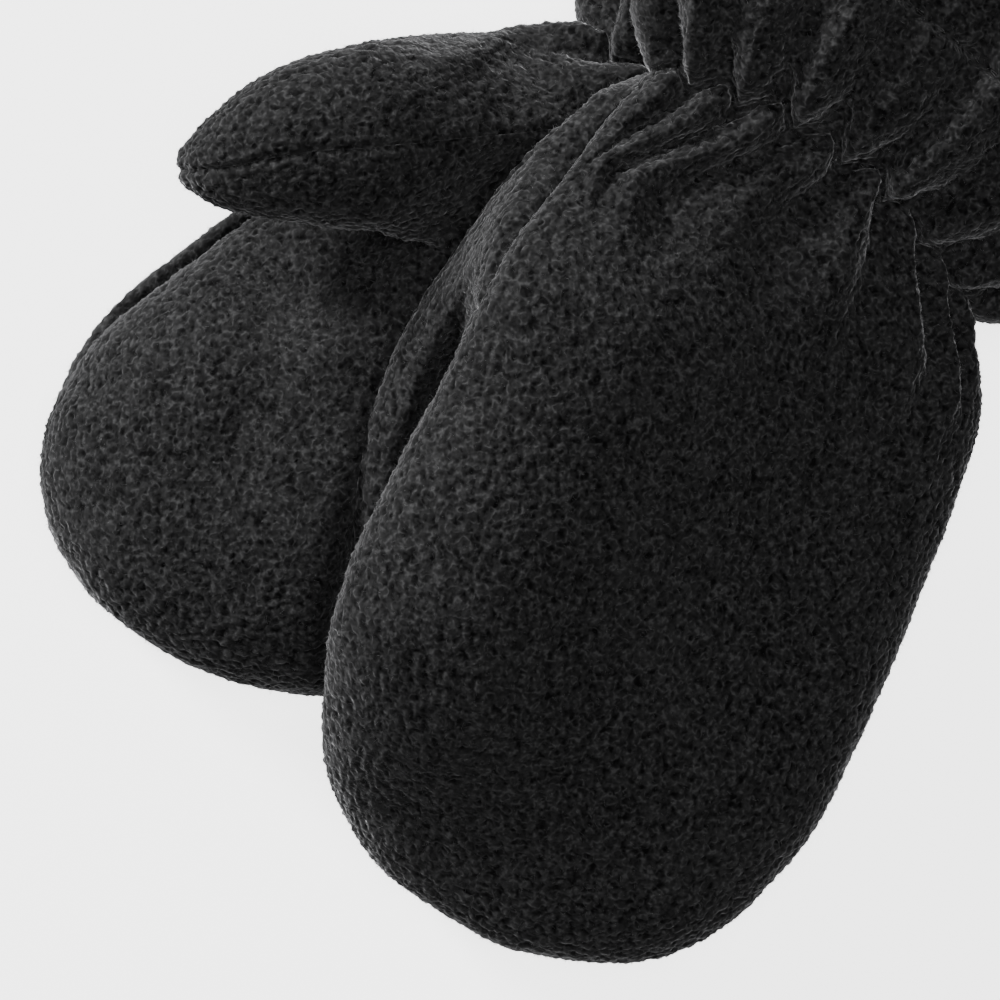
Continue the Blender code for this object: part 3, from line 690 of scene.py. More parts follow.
class MittenSkin:
    """The whole outer surface of one mitten as a mesh of even cells."""

    def __init__(self, shape: MittenShape, cut: Cut, lean: Lean, above: Sequence[Outline]) -> None:
        """Lays the hand, the cuff and the thumb.

        Args:
            shape: the mitten's sizes.
            cut: how it is cut.
            lean: the plane between the two mittens.
            above: the outlines of the mitten that lies on this one.
        """
        self.shape, self.cut, self.lean, self.above = shape, cut, lean, above
        self.plan = MittenPlan(shape, cut)
        self.point_blocks: list[np.ndarray] = []
        self.ripple_blocks: list[np.ndarray] = []
        self.wall_blocks: list[np.ndarray] = []
        self.count = 0
        self.quads: list[np.ndarray] = []
        self.quad_parts: list[np.ndarray] = []
        self.lay_hand()
        self.lay_cuff()
        self.lay_thumb()

    @property
    def points(self) -> np.ndarray:
        """Every point so far."""
        return np.vstack(self.point_blocks)

    @property
    def ripples(self) -> np.ndarray:
        """How far each point stands out for its fold."""
        return np.concatenate(self.ripple_blocks)

    @property
    def walls(self) -> np.ndarray:
        """The cloth's thickness at each point."""
        return np.concatenate(self.wall_blocks)

    @property
    def gathers(self) -> tuple[Sequence[Gather], Sequence[Gather]]:
        """The gathers of the upper and of the under side."""
        sides = (self.shape.palm_gathers, self.shape.back_gathers)
        return sides if self.shape.palm_up else sides[::-1]

    def store(
        self,
        points: np.ndarray,
        ripple: np.ndarray | float = 0.0,
        wall: np.ndarray | float = FLEECE_WALL,
    ) -> np.ndarray:
        """Keeps points and numbers them.

        Args:
            points: an array of points of any shape.
            ripple: how far each stands out for its fold.
            wall: the cloth's thickness there.

        Returns:
            The points' numbers, in the array's shape.
        """
        shape = points.shape[:-1]
        numbers = self.count + np.arange(math.prod(shape)).reshape(shape)
        self.point_blocks.append(points.reshape(-1, 3))
        self.ripple_blocks.append(np.broadcast_to(ripple, shape).reshape(-1))
        self.wall_blocks.append(np.broadcast_to(wall, shape).reshape(-1))
        self.count += numbers.size
        return numbers

    def fill(self, grid: np.ndarray, part: np.ndarray | int, flip: bool = False) -> None:
        """Lays one quad in every cell of a grid of point numbers.

        Args:
            grid: the numbers, rows first.
            part: the value of the Part that each cell is cut from, or OPEN.
            flip: whether the rows and columns run clockwise seen from outside.
        """
        cells = np.stack([grid[:-1, :-1], grid[1:, :-1], grid[1:, 1:], grid[:-1, 1:]], axis=-1)
        cells = cells[..., ::-1] if flip else cells
        owners = np.broadcast_to(part, cells.shape[:-1]).reshape(-1)
        self.quads.append(cells.reshape(-1, 4)[owners != OPEN])
        self.quad_parts.append(owners[owners != OPEN])

    def bed(self, drawn: np.ndarray) -> np.ndarray:
        """Height of what lies under the mitten at points of its drawing.

        Args:
            drawn: points of the drawing.

        Returns:
            0 on the floor, and more where a mitten lies beneath.
        """
        if self.shape.palm_up:
            return np.zeros(drawn.shape[:-1])
        height = self.lean.at(self.plan.place(drawn)) + self.lean.gap
        return smooth_max(height, np.zeros_like(height), self.lean.blend)

    def thumb_share(self, drawn: np.ndarray) -> np.ndarray:
        """1 where the thumb lies over or under the hand, and 0 away from it.

        Args:
            drawn: points of the drawing.

        Returns:
            A share for each point.
        """
        room = self.shape.thumb_room
        along, across = drawn[..., 0], drawn[..., 1]
        grows = smoothstep(along, room.starts, room.full_from)
        fades = 1.0 - smoothstep(along, room.full_to, room.ends)
        return grows * fades * smoothstep(-across, -room.side, -room.full_side)

    def ceiling(self, places: np.ndarray) -> np.ndarray:
        """The most height that the mitten above leaves at places of the pair's plan.

        Args:
            places: the places.

        Returns:
            A height for each place, which grows away from the mitten above.
        """
        lean = self.lean
        depth = np.max([outline.depth(places) for outline in self.above], axis=0)
        side = lean.side_rise * (1.0 - rounding(np.maximum(depth, 0.0), lean.side_reach))
        away = lean.open_slope * np.maximum(-depth, 0.0)
        return lean.at(places) - lean.gap + side + away

    def outlines(self) -> list[Outline]:
        """The outlines of this mitten's hand, cuff and thumb in the pair's plan.

        Returns:
            The three outlines.
        """
        points = self.points[:, :2]
        bodies = (np.concatenate([self.top.ravel(), self.under.ravel()]), self.cuff_grid, self.thumb_grid)
        return [Outline(points[numbers.ravel()]) for numbers in bodies]

    def levels(
        self, drawn: np.ndarray, inward: np.ndarray, crown: np.ndarray, draw: np.ndarray
    ) -> tuple[np.ndarray, np.ndarray]:
        """Heights of the two panels.

        Args:
            drawn: points of the drawing.
            inward: how far each lies in from the edge.
            crown: the upper panel's full height over the seam.
            draw: how far the elastic draws the cloth in.

        Returns:
            The upper and the under panel's heights.
        """
        cut, room = self.cut, self.shape.thumb_room.height * self.thumb_share(drawn)
        bed = self.bed(drawn)
        seam = bed + self.shape.seam_height * self.shape.scale
        under = bed + cut.under_draw * draw
        if self.shape.palm_up:
            ceiling = self.ceiling(self.plan.place(drawn))
            seam = smooth_min(seam, 0.5 * ceiling, cut.seam_blend)
            top = seam + (crown - draw - room) * rounding(inward, cut.top_rounding)
            top = smooth_min(top, ceiling, cut.top_blend)
        else:
            lifted = self.heel_lift(drawn)
            seam = seam + room + lifted
            under = under + room
            top = seam + (crown - draw - lifted) * rounding(inward, cut.top_rounding)
        return top, seam + (under - seam) * rounding(inward, cut.under_rounding)

    def crown_at(self, along: np.ndarray) -> np.ndarray:
        """The upper panel's full height over the seam."""
        return np.interp(along, *np.array(self.shape.crown).T)

    def fullness(self, drawn: np.ndarray, inward: np.ndarray, is_palm: bool) -> np.ndarray:
        """How much cloth a panel has to stand proud of the seam on the index side.

        Args:
            drawn: points of the drawing.
            inward: how far each lies in from the edge.
            is_palm: whether it is the palm side, which is full at the heel.

        Returns:
            How far the cloth reaches out at each point.
        """
        table = self.shape.heel_bulge if is_palm else self.shape.back_bulge
        bulge = np.interp(drawn[..., 0], *np.array(table).T)
        return bulge * (1.0 - smoothstep(inward, *self.cut.full_over)) * (drawn[..., 1] < 0)

    def heel_lift(self, drawn: np.ndarray) -> np.ndarray:
        """How far the seam lies higher beside the heel than elsewhere.

        Args:
            drawn: points of the drawing.

        Returns:
            A height for each point.
        """
        table = np.array(self.shape.heel_bulge).T
        share = np.interp(drawn[..., 0], table[0], table[1] / table[1].max())
        return self.shape.heel_seam * share * smoothstep(-drawn[..., 1], *self.cut.lift_over)

    def rolled(self, drawn: np.ndarray, inward: np.ndarray) -> np.ndarray:
        """How far the under panel swells out beside the seam.

        Args:
            drawn: points of the drawing.
            inward: how far each lies in from the edge.

        Returns:
            How far each point stands out.
        """
        along, across = drawn[..., 0], drawn[..., 1]
        cut, shape = self.cut, self.shape
        swell = smoothstep(inward, *cut.roll_over[:2]) * (1.0 - smoothstep(inward, *cut.roll_over[2:]))
        tips, little_side = smoothstep(along, *shape.roll_from), smoothstep(across, *cut.roll_side)
        return shape.roll * swell * np.maximum(tips, little_side) * smoothstep(along, *cut.roll_along)

    def wave(self, gathers: Sequence[Gather]) -> tuple[np.ndarray, np.ndarray]:
        """The gathers across a row: round ridges with narrow valleys between.

        Args:
            gathers: the gathers of this side.

        Returns:
            Each column's height and its reach.
        """
        phase = self.plan.phases(gathers)
        crests = np.arange(len(gathers)) + 0.5
        from_crest = np.abs(2.0 * (phase - np.floor(phase)) - 1.0)
        wave = 1.0 - 2.0 * from_crest**self.cut.ridge_power
        wave[0] = wave[-1] = 0.0
        height = np.interp(phase, crests, [g.height for g in gathers])
        return wave * height, np.interp(phase, crests, [g.reach for g in gathers])

    def hand_ripple(self, gathers: Sequence[Gather]) -> np.ndarray:
        """How far each point of a hand panel stands out or in for its gathers.

        Args:
            gathers: the gathers of this side.

        Returns:
            The heights, rows first.
        """
        wave, reach = self.wave(gathers)
        distance = self.cut.hand_rows[:, None]
        waist = self.cut.cuff_waist
        rise = waist + (1.0 - waist) * smoothstep(distance, *self.cut.waist_over)
        return wave * rise * (1.0 - smoothstep(distance, self.cut.hand_fade * reach, reach))

    def cuff_ripple(self, gathers: Sequence[Gather]) -> np.ndarray:
        """The cuff's folds, whose round ridges start in the troughs of the hand's gathers.

        Args:
            gathers: the hand's gathers on this side.

        Returns:
            How far each point of the cuff stands out or in, rows first.
        """
        wave, _ = self.wave(gathers)
        phase = self.plan.phases(gathers)
        from_trough = 1.0 - np.abs(2.0 * (phase - np.floor(phase)) - 1.0)
        folds = np.arange(len(gathers) + 1)
        table = np.array(self.shape.cuff_folds)
        height, reach = (np.interp(phase, folds, np.resize(column, len(folds))) for column in table.T)
        ridge = height * (1.0 - 2.0 * from_trough**self.cut.ridge_power)
        distance = self.cut.cuff_rows[:, None]
        share = smoothstep(distance, 0.0, self.cut.cuff_turnover)
        kept = 1.0 - self.cut.cuff_fade * smoothstep(distance, self.cut.fold_fade * reach, reach)
        return (self.cut.cuff_waist * wave * (1.0 - share) + ridge * share) * kept

    def scalloped(self, drawn: np.ndarray, gathers: Sequence[Gather], distances: np.ndarray) -> np.ndarray:
        """The drawing's points near the wrist, swung to the cuff on ridges and back in valleys.

        Args:
            drawn: rows and columns of points.
            gathers: the gathers of this side.
            distances: each row's distance from the wrist.

        Returns:
            The moved points.
        """
        wave, _ = self.wave(gathers)
        share = wave / max(g.height for g in gathers)
        fade = 1.0 - smoothstep(distances, 0.0, self.cut.scallop_reach)
        moved = drawn.copy()
        moved[..., 0] -= self.cut.scallop * fade[:, None] * share
        return moved

    def elastic(self, distances: np.ndarray) -> np.ndarray:
        """How far the elastic draws the cloth in at these distances from it."""
        return self.cut.draw * (1.0 - smoothstep(distances, 0.0, self.cut.draw_reach))

    def lay_hand(self) -> None:
        """The back and the palm side, which share the points of the hand's edge."""
        grids = []
        draw = self.elastic(self.cut.hand_rows)[:, None]
        for gathers, is_top in zip(self.gathers, (True, False)):
            drawn = self.plan.hand(gathers)
            inward = distance_to(self.plan.edge, drawn)
            inward[:, 0] = inward[:, -1] = inward[-1] = 0.0
            full = self.fullness(drawn, inward, is_top == self.shape.palm_up)
            proud = full * smoothstep(inward, 0.0, self.cut.full_turn)
            kept_up = np.maximum(inward - self.cut.full_level * full, 0.0)
            levels = self.levels(drawn, kept_up, self.crown_at(drawn[..., 0]), draw)
            ripple = self.hand_ripple(gathers)
            if not is_top:
                ripple = ripple + self.rolled(drawn, inward)
            drawn = np.stack([drawn[..., 0], drawn[..., 1] - proud], axis=-1)
            drawn = self.scalloped(drawn, gathers, self.cut.hand_rows)
            height = levels[0] if is_top else levels[1]
            points = np.concatenate([self.plan.place(drawn), height[..., None]], axis=-1)
            grids.append((points, ripple))
        (points, ripple), (under_points, under_ripple) = grids
        self.top = self.store(points, ripple)
        self.under = self.top.copy()
        self.under[:-1, 1:-1] = self.store(under_points[:-1, 1:-1], under_ripple[:-1, 1:-1])
        palm = self.palm_parts()
        self.fill(self.top, palm if self.shape.palm_up else Part.BACK.value)
        self.fill(self.under, Part.BACK.value if self.shape.palm_up else palm, flip=True)

    def root_cells(self) -> tuple[int, int, int, int]:
        """First and last row and first and last column of the thumb's root.

        Returns:
            The two rows, then the outer and the inner column.
        """
        rows = self.cut.hand_rows
        first, last = (int(np.argmin(np.abs(rows - d))) for d in self.cut.thumb_root)
        per_quarter = self.cut.gather_cells // 4
        outer, inner = (int(c * per_quarter) for c in self.shape.thumb_columns)
        return first, last, outer, inner

    def palm_parts(self) -> np.ndarray:
        """Which piece each cell of the palm side is cut from, with the thumb's root left open.

        Returns:
            The value of the Part of each cell, or OPEN.
        """
        first, last, outer, inner = self.root_cells()
        cells = np.full((self.top.shape[0] - 1, self.top.shape[1] - 1), Part.PALM.value)
        cells[:first] = Part.HEEL.value
        cells[first:last, :outer] = Part.HEEL.value
        cells[first:last, outer:inner] = OPEN
        return cells

    def lay_cuff(self) -> None:
        """The cuff, a tube that starts on the wrist's own points and ends in its turned hem."""
        rings = []
        rows = self.cut.cuff_rows
        factor = np.interp(rows, self.cut.flare_at, self.cut.flare_crown)[:, None]
        for gathers, is_top in zip(self.gathers, (True, False)):
            drawn = self.plan.cuff(gathers)
            widths = np.linalg.norm(drawn[:, -1] - drawn[:, 0], axis=-1)[:, None]
            share = self.plan.columns(gathers, 0.0)
            inward = widths * np.minimum(share, 1.0 - share)
            crown = self.crown_at(drawn[0, :, 0]) * factor
            levels = self.levels(drawn, inward, crown, self.elastic(rows)[:, None])
            drawn = self.scalloped(drawn, gathers, rows)
            height = levels[0] if is_top else levels[1]
            points = np.concatenate([self.plan.place(drawn), height[..., None]], axis=-1)
            rings.append((points, self.cuff_ripple(gathers)))
        (points, ripple), (under_points, under_ripple) = rings
        ring_points = np.concatenate([points, under_points[:, -2:0:-1]], axis=1)
        ring_ripple = np.concatenate([ripple, under_ripple[:, -2:0:-1]], axis=1)
        wrist = np.concatenate([self.top[0], self.under[0, -2:0:-1]])
        walls = np.where(rows[1:, None] > self.cut.hem_line, HEM_WALL, FLEECE_WALL)
        body = self.store(ring_points[1:], ring_ripple[1:], walls)
        self.cuff_grid = np.vstack([wrist[None], body])
        self.fill(np.hstack([self.cuff_grid, self.cuff_grid[:, :1]]), Part.CUFF.value, flip=True)

    def lay_thumb(self) -> None:
        """The thumb, a tube from the open root in the palm to its closed tip."""
        shape, cut = self.shape, self.cut
        grid = self.top if shape.palm_up else self.under
        first, last, outer, inner = self.root_cells()
        rear = [(first, k) for k in range(outer, inner)]
        inside = [(j, inner) for j in range(first, last)]
        front = [(last, k) for k in range(inner, outer, -1)]
        outside = [(j, outer) for j in range(last, first, -1)]
        sides = (rear, inside, front, outside)
        turns = np.concatenate([n - 1.5 + np.arange(len(side)) / len(side) for n, side in enumerate(sides)])
        angles = 0.5 * math.pi * turns - math.radians(shape.thumb_twist)
        angles = -angles if shape.palm_up else angles
        cells = [cell for side in sides for cell in side]
        root = np.array([grid[j, k] for j, k in cells])
        behind = np.array([grid[j + dj, k + dk] for (j, k), (dj, dk) in zip(cells, self.outward_steps())])
        points = self.points
        rings = self.thumb_rings(angles)
        start, away = points[root], points[root] - points[behind]
        reach = np.linalg.norm(rings[0] - start, axis=1, keepdims=True)
        leaving, arriving = unit(away) * reach, unit(rings[1] - rings[0]) * reach
        lead = []
        for t in np.linspace(0.0, 1.0, cut.lead_rings + 2)[1:-1]:
            lead.append(
                (2 * t**3 - 3 * t**2 + 1) * start
                + (t**3 - 2 * t**2 + t) * cut.root_ease * leaving
                + (3 * t**2 - 2 * t**3) * rings[0]
                + (t**3 - t**2) * cut.lead_ease * arriving
            )
        tube = np.array([*lead, *rings])
        numbers = self.store(self.kept_clear(tube))
        self.thumb_grid = numbers
        tube_grid = np.vstack([root[None], numbers])
        tube_grid = np.hstack([tube_grid, tube_grid[:, :1]])
        parts = np.full(len(root), Part.HEEL.value)
        parts[len(rear) : len(rear) + len(inside) + len(front)] = Part.PALM.value
        self.fill(tube_grid, np.broadcast_to(parts, (len(tube), len(root))), flip=not shape.palm_up)
        self.close_tip(numbers[-1], parts)

    def outward_steps(self) -> list[tuple[int, int]]:
        """For each point of the thumb's root, the step to its neighbour outside the root.

        Returns:
            Steps of rows and columns, in the order of the thumb's rings.
        """
        first, last, outer, inner = self.root_cells()
        steps = [(-1, 0)] * (inner - outer) + [(0, 1)] * (last - first)
        return steps + [(1, 0)] * (inner - outer) + [(0, -1)] * (last - first)

    def thumb_rings(self, angles: np.ndarray) -> np.ndarray:
        """The thumb's oval rings.

        Args:
            angles: where each point stands on its ring, in radians.

        Returns:
            Rings of points from the first section to just before the tip.
        """
        shape = self.shape
        sections = np.asarray(shape.thumb)
        table = through(sections, self.cut.thumb_rings // (len(sections) - 1))
        spine = np.vstack([table[:, :3], shape.thumb_tip])
        places = self.plan.place(spine[:, :2])
        height = spine[:, 2].copy()
        if not shape.palm_up:
            height += self.lean.at(places) + self.lean.gap
        middle = np.column_stack([places, height])
        last = table[-1]
        closing = np.sin(np.radians(self.cut.tip_closing))
        ends = [middle[-2] + (middle[-1] - middle[-2]) * t for t in closing]
        centres = np.vstack([middle[:-1], ends])
        widths = np.concatenate([table[:, 3], last[3] * np.sqrt(1 - closing**2)]) * shape.scale
        depths = np.concatenate([table[:, 4], last[4] * np.sqrt(1 - closing**2)]) * shape.scale
        ahead = unit(np.gradient(np.vstack([centres, middle[-1:]]), axis=0)[:-1])
        side = -unit(np.cross(ahead, (0.0, 0.0, 1.0)))
        up = np.cross(ahead, side)
        across = widths[:, None, None] * np.cos(angles)[:, None] * side[:, None]
        from_outer = widths[:, None] * (1.0 + np.cos(angles))
        sunk = shape.thumb_hollow * smoothstep(from_outer, *self.cut.hollow_over) * (np.sin(angles) > 0.0)
        rise = depths[:, None] * np.sin(angles) * (1.0 - sunk)
        return centres[:, None] + across + rise[..., None] * up[:, None]

    def close_tip(self, ring: np.ndarray, parts: np.ndarray) -> None:
        """Closes the thumb's last ring with rows of quads from one side to the other.

        Args:
            ring: the numbers of the last ring's points.
            parts: which piece each cell behind the ring is cut from.
        """
        half = len(ring) // 2
        start = int(np.argmax(parts == Part.PALM.value))
        turned = np.roll(ring, -start)
        one, other = turned[: half + 1], np.concatenate([turned[half:], turned[:1]])[::-1]
        points = self.points
        middle = self.store(0.5 * (points[one[1:-1]] + points[other[1:-1]]))
        line = np.concatenate([one[:1], middle, one[-1:]])
        for grid, part, turn in ((one, Part.PALM, False), (other, Part.HEEL, True)):
            rows = np.stack([grid, line])
            cells = np.stack([rows[0, :-1], rows[0, 1:], rows[1, 1:], rows[1, :-1]], axis=-1)
            cells = cells[:, ::-1] if turn != self.shape.palm_up else cells
            for cell in cells:
                corners = list(dict.fromkeys(int(i) for i in cell))
                self.quads.append(np.array([corners + [corners[-1]] * (4 - len(corners))]))
                self.quad_parts.append(np.array([part.value]))

    def kept_clear(self, points: np.ndarray) -> np.ndarray:
        """The thumb's points, kept off what lies under or over it.

        Args:
            points: the thumb's points in the pair's plan.

        Returns:
            The points, raised or lowered where they were too close.
        """
        places = points[..., :2]
        cleared = points.copy()
        if self.shape.palm_up:
            cleared[..., 2] = smooth_min(points[..., 2], self.ceiling(places), self.cut.seam_blend)
        else:
            floor = np.maximum(self.lean.at(places) + self.lean.gap, 0.0)
            cleared[..., 2] = np.maximum(points[..., 2], floor)
        return cleared

    def relaxed(self) -> np.ndarray:
        """The points, those round the thumb's root evened out with their neighbours.

        Returns:
            Every point. The hand's seams stay where they are.
        """
        points = self.points
        grid = self.top if self.shape.palm_up else self.under
        first, last, outer, inner = self.root_cells()
        across, along = grid[[first, last], outer : inner + 1], grid[first : last + 1, [outer, inner]]
        root = points[np.unique(np.concatenate([across.ravel(), along.ravel()]))]
        apart = np.linalg.norm(points[:, None] - root, axis=-1).min(axis=1)
        share = 0.5 * (1.0 - smoothstep(apart, *self.cut.root_evened))
        share[grid[:, [0, -1]]] = 0.0
        quads = np.vstack(self.quads)
        met = np.bincount(quads.ravel(), minlength=len(points))[:, None]
        for _ in range(self.cut.root_rounds):
            total = np.zeros_like(points)
            np.add.at(total, quads, points[quads].mean(axis=1, keepdims=True))
            points = points + share[:, None] * (total / met - points)
        return points

    def faces(self) -> tuple[list[list[int]], np.ndarray]:
        """Every face's corners, and the value of the Part that it is cut from.

        Returns:
            The faces and their parts.
        """
        quads = np.vstack(self.quads)
        faces = [[int(i) for i in dict.fromkeys(q)] for q in quads.tolist()]
        return faces, np.concatenate(self.quad_parts)


class Wiring:
    """Adds the nodes of one tree and joins their sockets."""

    def __init__(self, tree: bpy.types.NodeTree) -> None:
        """Keeps the tree."""
        self.tree = tree

    def socket(self, name: str, kind: str, way: str = "INPUT", value: Optional[float] = None) -> str:
        """Adds a named socket to the tree.

        Args:
            name: the socket's name.
            kind: its type, such as NodeSocketFloat.
            way: INPUT or OUTPUT.
            value: the default of an input.

        Returns:
            The socket's identifier.
        """
        made = self.tree.interface.new_socket(name, in_out=way, socket_type=kind)
        if value is not None:
            made.default_value = value
        return made.identifier

    def node(self, kind: str, inputs: Optional[dict] = None, **settings: object) -> bpy.types.Node:
        """Adds a node.

        Args:
            kind: the node's type.
            inputs: a value or a socket to join for each input, by name or place.
            settings: the node's own settings.

        Returns:
            The node.
        """
        made = self.tree.nodes.new(kind)
        for name, value in settings.items():
            setattr(made, name, value)
        for key, value in (inputs or {}).items():
            if isinstance(value, bpy.types.NodeSocket):
                self.tree.links.new(value, made.inputs[key])
            else:
                made.inputs[key].default_value = value
        return made

    def sum(self, operation: str, *values: object) -> bpy.types.NodeSocket:
        """Adds a Math node on these values or sockets and gives its result."""
        return self.node("ShaderNodeMath", dict(enumerate(values)), operation=operation).outputs[0]

    def vector(self, operation: str, *values: object) -> bpy.types.NodeSocket:
        """Adds a Vector Math node on these vectors or sockets and gives its result."""
        return self.node("ShaderNodeVectorMath", dict(enumerate(values)), operation=operation).outputs[0]

    def scaled(self, vector: bpy.types.NodeSocket, by: object) -> bpy.types.NodeSocket:
        """Adds a node that scales a vector and gives its result."""
        made = self.node("ShaderNodeVectorMath", {0: vector, "Scale": by}, operation="SCALE")
        return made.outputs[0]

    def noise(
        self, place: bpy.types.NodeSocket, scale: object, detail: float = 1.0, roughness: float = 0.5
    ) -> bpy.types.Node:
        """Adds a noise texture.

        Args:
            place: where each point lies.
            scale: how often the noise changes in a metre.
            detail: how many finer layers lie on it.
            roughness: how much each of them counts.

        Returns:
            The node.
        """
        inputs = {"Vector": place, "Scale": scale, "Detail": detail, "Roughness": roughness}
        return self.node("ShaderNodeTexNoise", inputs)

    def ramp(self, value: bpy.types.NodeSocket, none_at: float, full_at: float) -> bpy.types.NodeSocket:
        """Adds a node that rises softly from 0 to 1 between two values and gives its result."""
        given = {"Value": value, "From Min": none_at, "From Max": full_at}
        return self.node("ShaderNodeMapRange", given, interpolation_type="SMOOTHSTEP").outputs[0]

    def mixed(
        self, share: bpy.types.NodeSocket, low: bpy.types.NodeSocket, high: bpy.types.NodeSocket
    ) -> bpy.types.NodeSocket:
        """Adds a node that mixes two colours.

        Args:
            share: how much of the second colour there is.
            low: the first colour.
            high: the second colour.

        Returns:
            The mixed colour.
        """
        made = self.node("ShaderNodeMix", data_type="RGBA")
        wanted = {"Factor_Float": share, "A_Color": low, "B_Color": high}
        for socket in made.inputs:
            if socket.identifier in wanted:
                self.tree.links.new(wanted[socket.identifier], socket)
        return next(s for s in made.outputs if s.identifier == "Result_Color")

    def marked(self, name: str) -> bpy.types.NodeSocket:
        """Adds a node that reads which edges or faces bear a mark and gives its result."""
        return self.node("GeometryNodeInputNamedAttribute", {"Name": name}, data_type="BOOLEAN").outputs[0]

    def instanced(
        self,
        points: bpy.types.Node,
        thing: bpy.types.Node,
        rotation: bpy.types.NodeSocket,
        thickness: bpy.types.NodeSocket,
        length: bpy.types.NodeSocket,
    ) -> bpy.types.NodeSocket:
        """Sets a thing on points.

        Args:
            points: the node that gives the points.
            thing: the node that gives the thing, which is 1 thick and 1 long.
            rotation: how it is turned on each point.
            thickness: how thick it gets.
            length: how long it gets.

        Returns:
            The instances.
        """
        size = self.node("ShaderNodeCombineXYZ", {0: thickness, 1: thickness, 2: length})
        inputs = {
            "Points": points.outputs["Points"],
            "Instance": thing.outputs[0],
            "Rotation": rotation,
            "Scale": size.outputs[0],
        }
        return self.node("GeometryNodeInstanceOnPoints", inputs).outputs[0]


class SkinWork:
    """Work that a Geometry Nodes tree does on a skin, with named inputs and a material."""

    TITLE: ClassVar[str]
    material: bpy.types.Material

    def inputs(self) -> dict[str, float]:
        """The tree's named inputs, in metres."""
        raise NotImplementedError

    def wired(self, wire: Wiring, given: bpy.types.bpy_prop_collection) -> bpy.types.NodeSocket:
        """Adds the nodes that do the work.

        Args:
            wire: the tree's wiring.
            given: the tree's inputs.

        Returns:
            The worked geometry.
        """
        raise NotImplementedError

    @cached_property
    def tree(self) -> tuple[bpy.types.NodeTree, dict[str, str]]:
        """The node tree.

        Returns:
            The tree, and the identifier of each named input.
        """
        tree = bpy.data.node_groups.new(self.TITLE, "GeometryNodeTree")
        wire = Wiring(tree)
        wire.socket("Skin", "NodeSocketGeometry")
        names = {name: wire.socket(name, "NodeSocketFloat") for name in self.inputs()}
        wire.socket("Work", "NodeSocketGeometry", "OUTPUT")
        worked = self.wired(wire, wire.node("NodeGroupInput").outputs)
        real = wire.node("GeometryNodeRealizeInstances", {0: worked}).outputs[0]
        dressed = wire.node("GeometryNodeSetMaterial", {"Geometry": real, "Material": self.material})
        wire.node("NodeGroupOutput", {0: dressed.outputs[0]})
        return tree, names

    def grown(self, source: bpy.types.Object) -> bpy.types.Mesh:
        """Runs the tree on an object and gives the result as a plain mesh.

        Args:
            source: the object, which is left as it was.

        Returns:
            The new mesh.
        """
        tree, names = self.tree
        modifier = source.modifiers.new(tree.name, "NODES")
        modifier.node_group = tree
        for name, value in self.inputs().items():
            modifier[names[name]] = value
        mesh = evaluated(source)
        source.modifiers.remove(modifier)
        return mesh


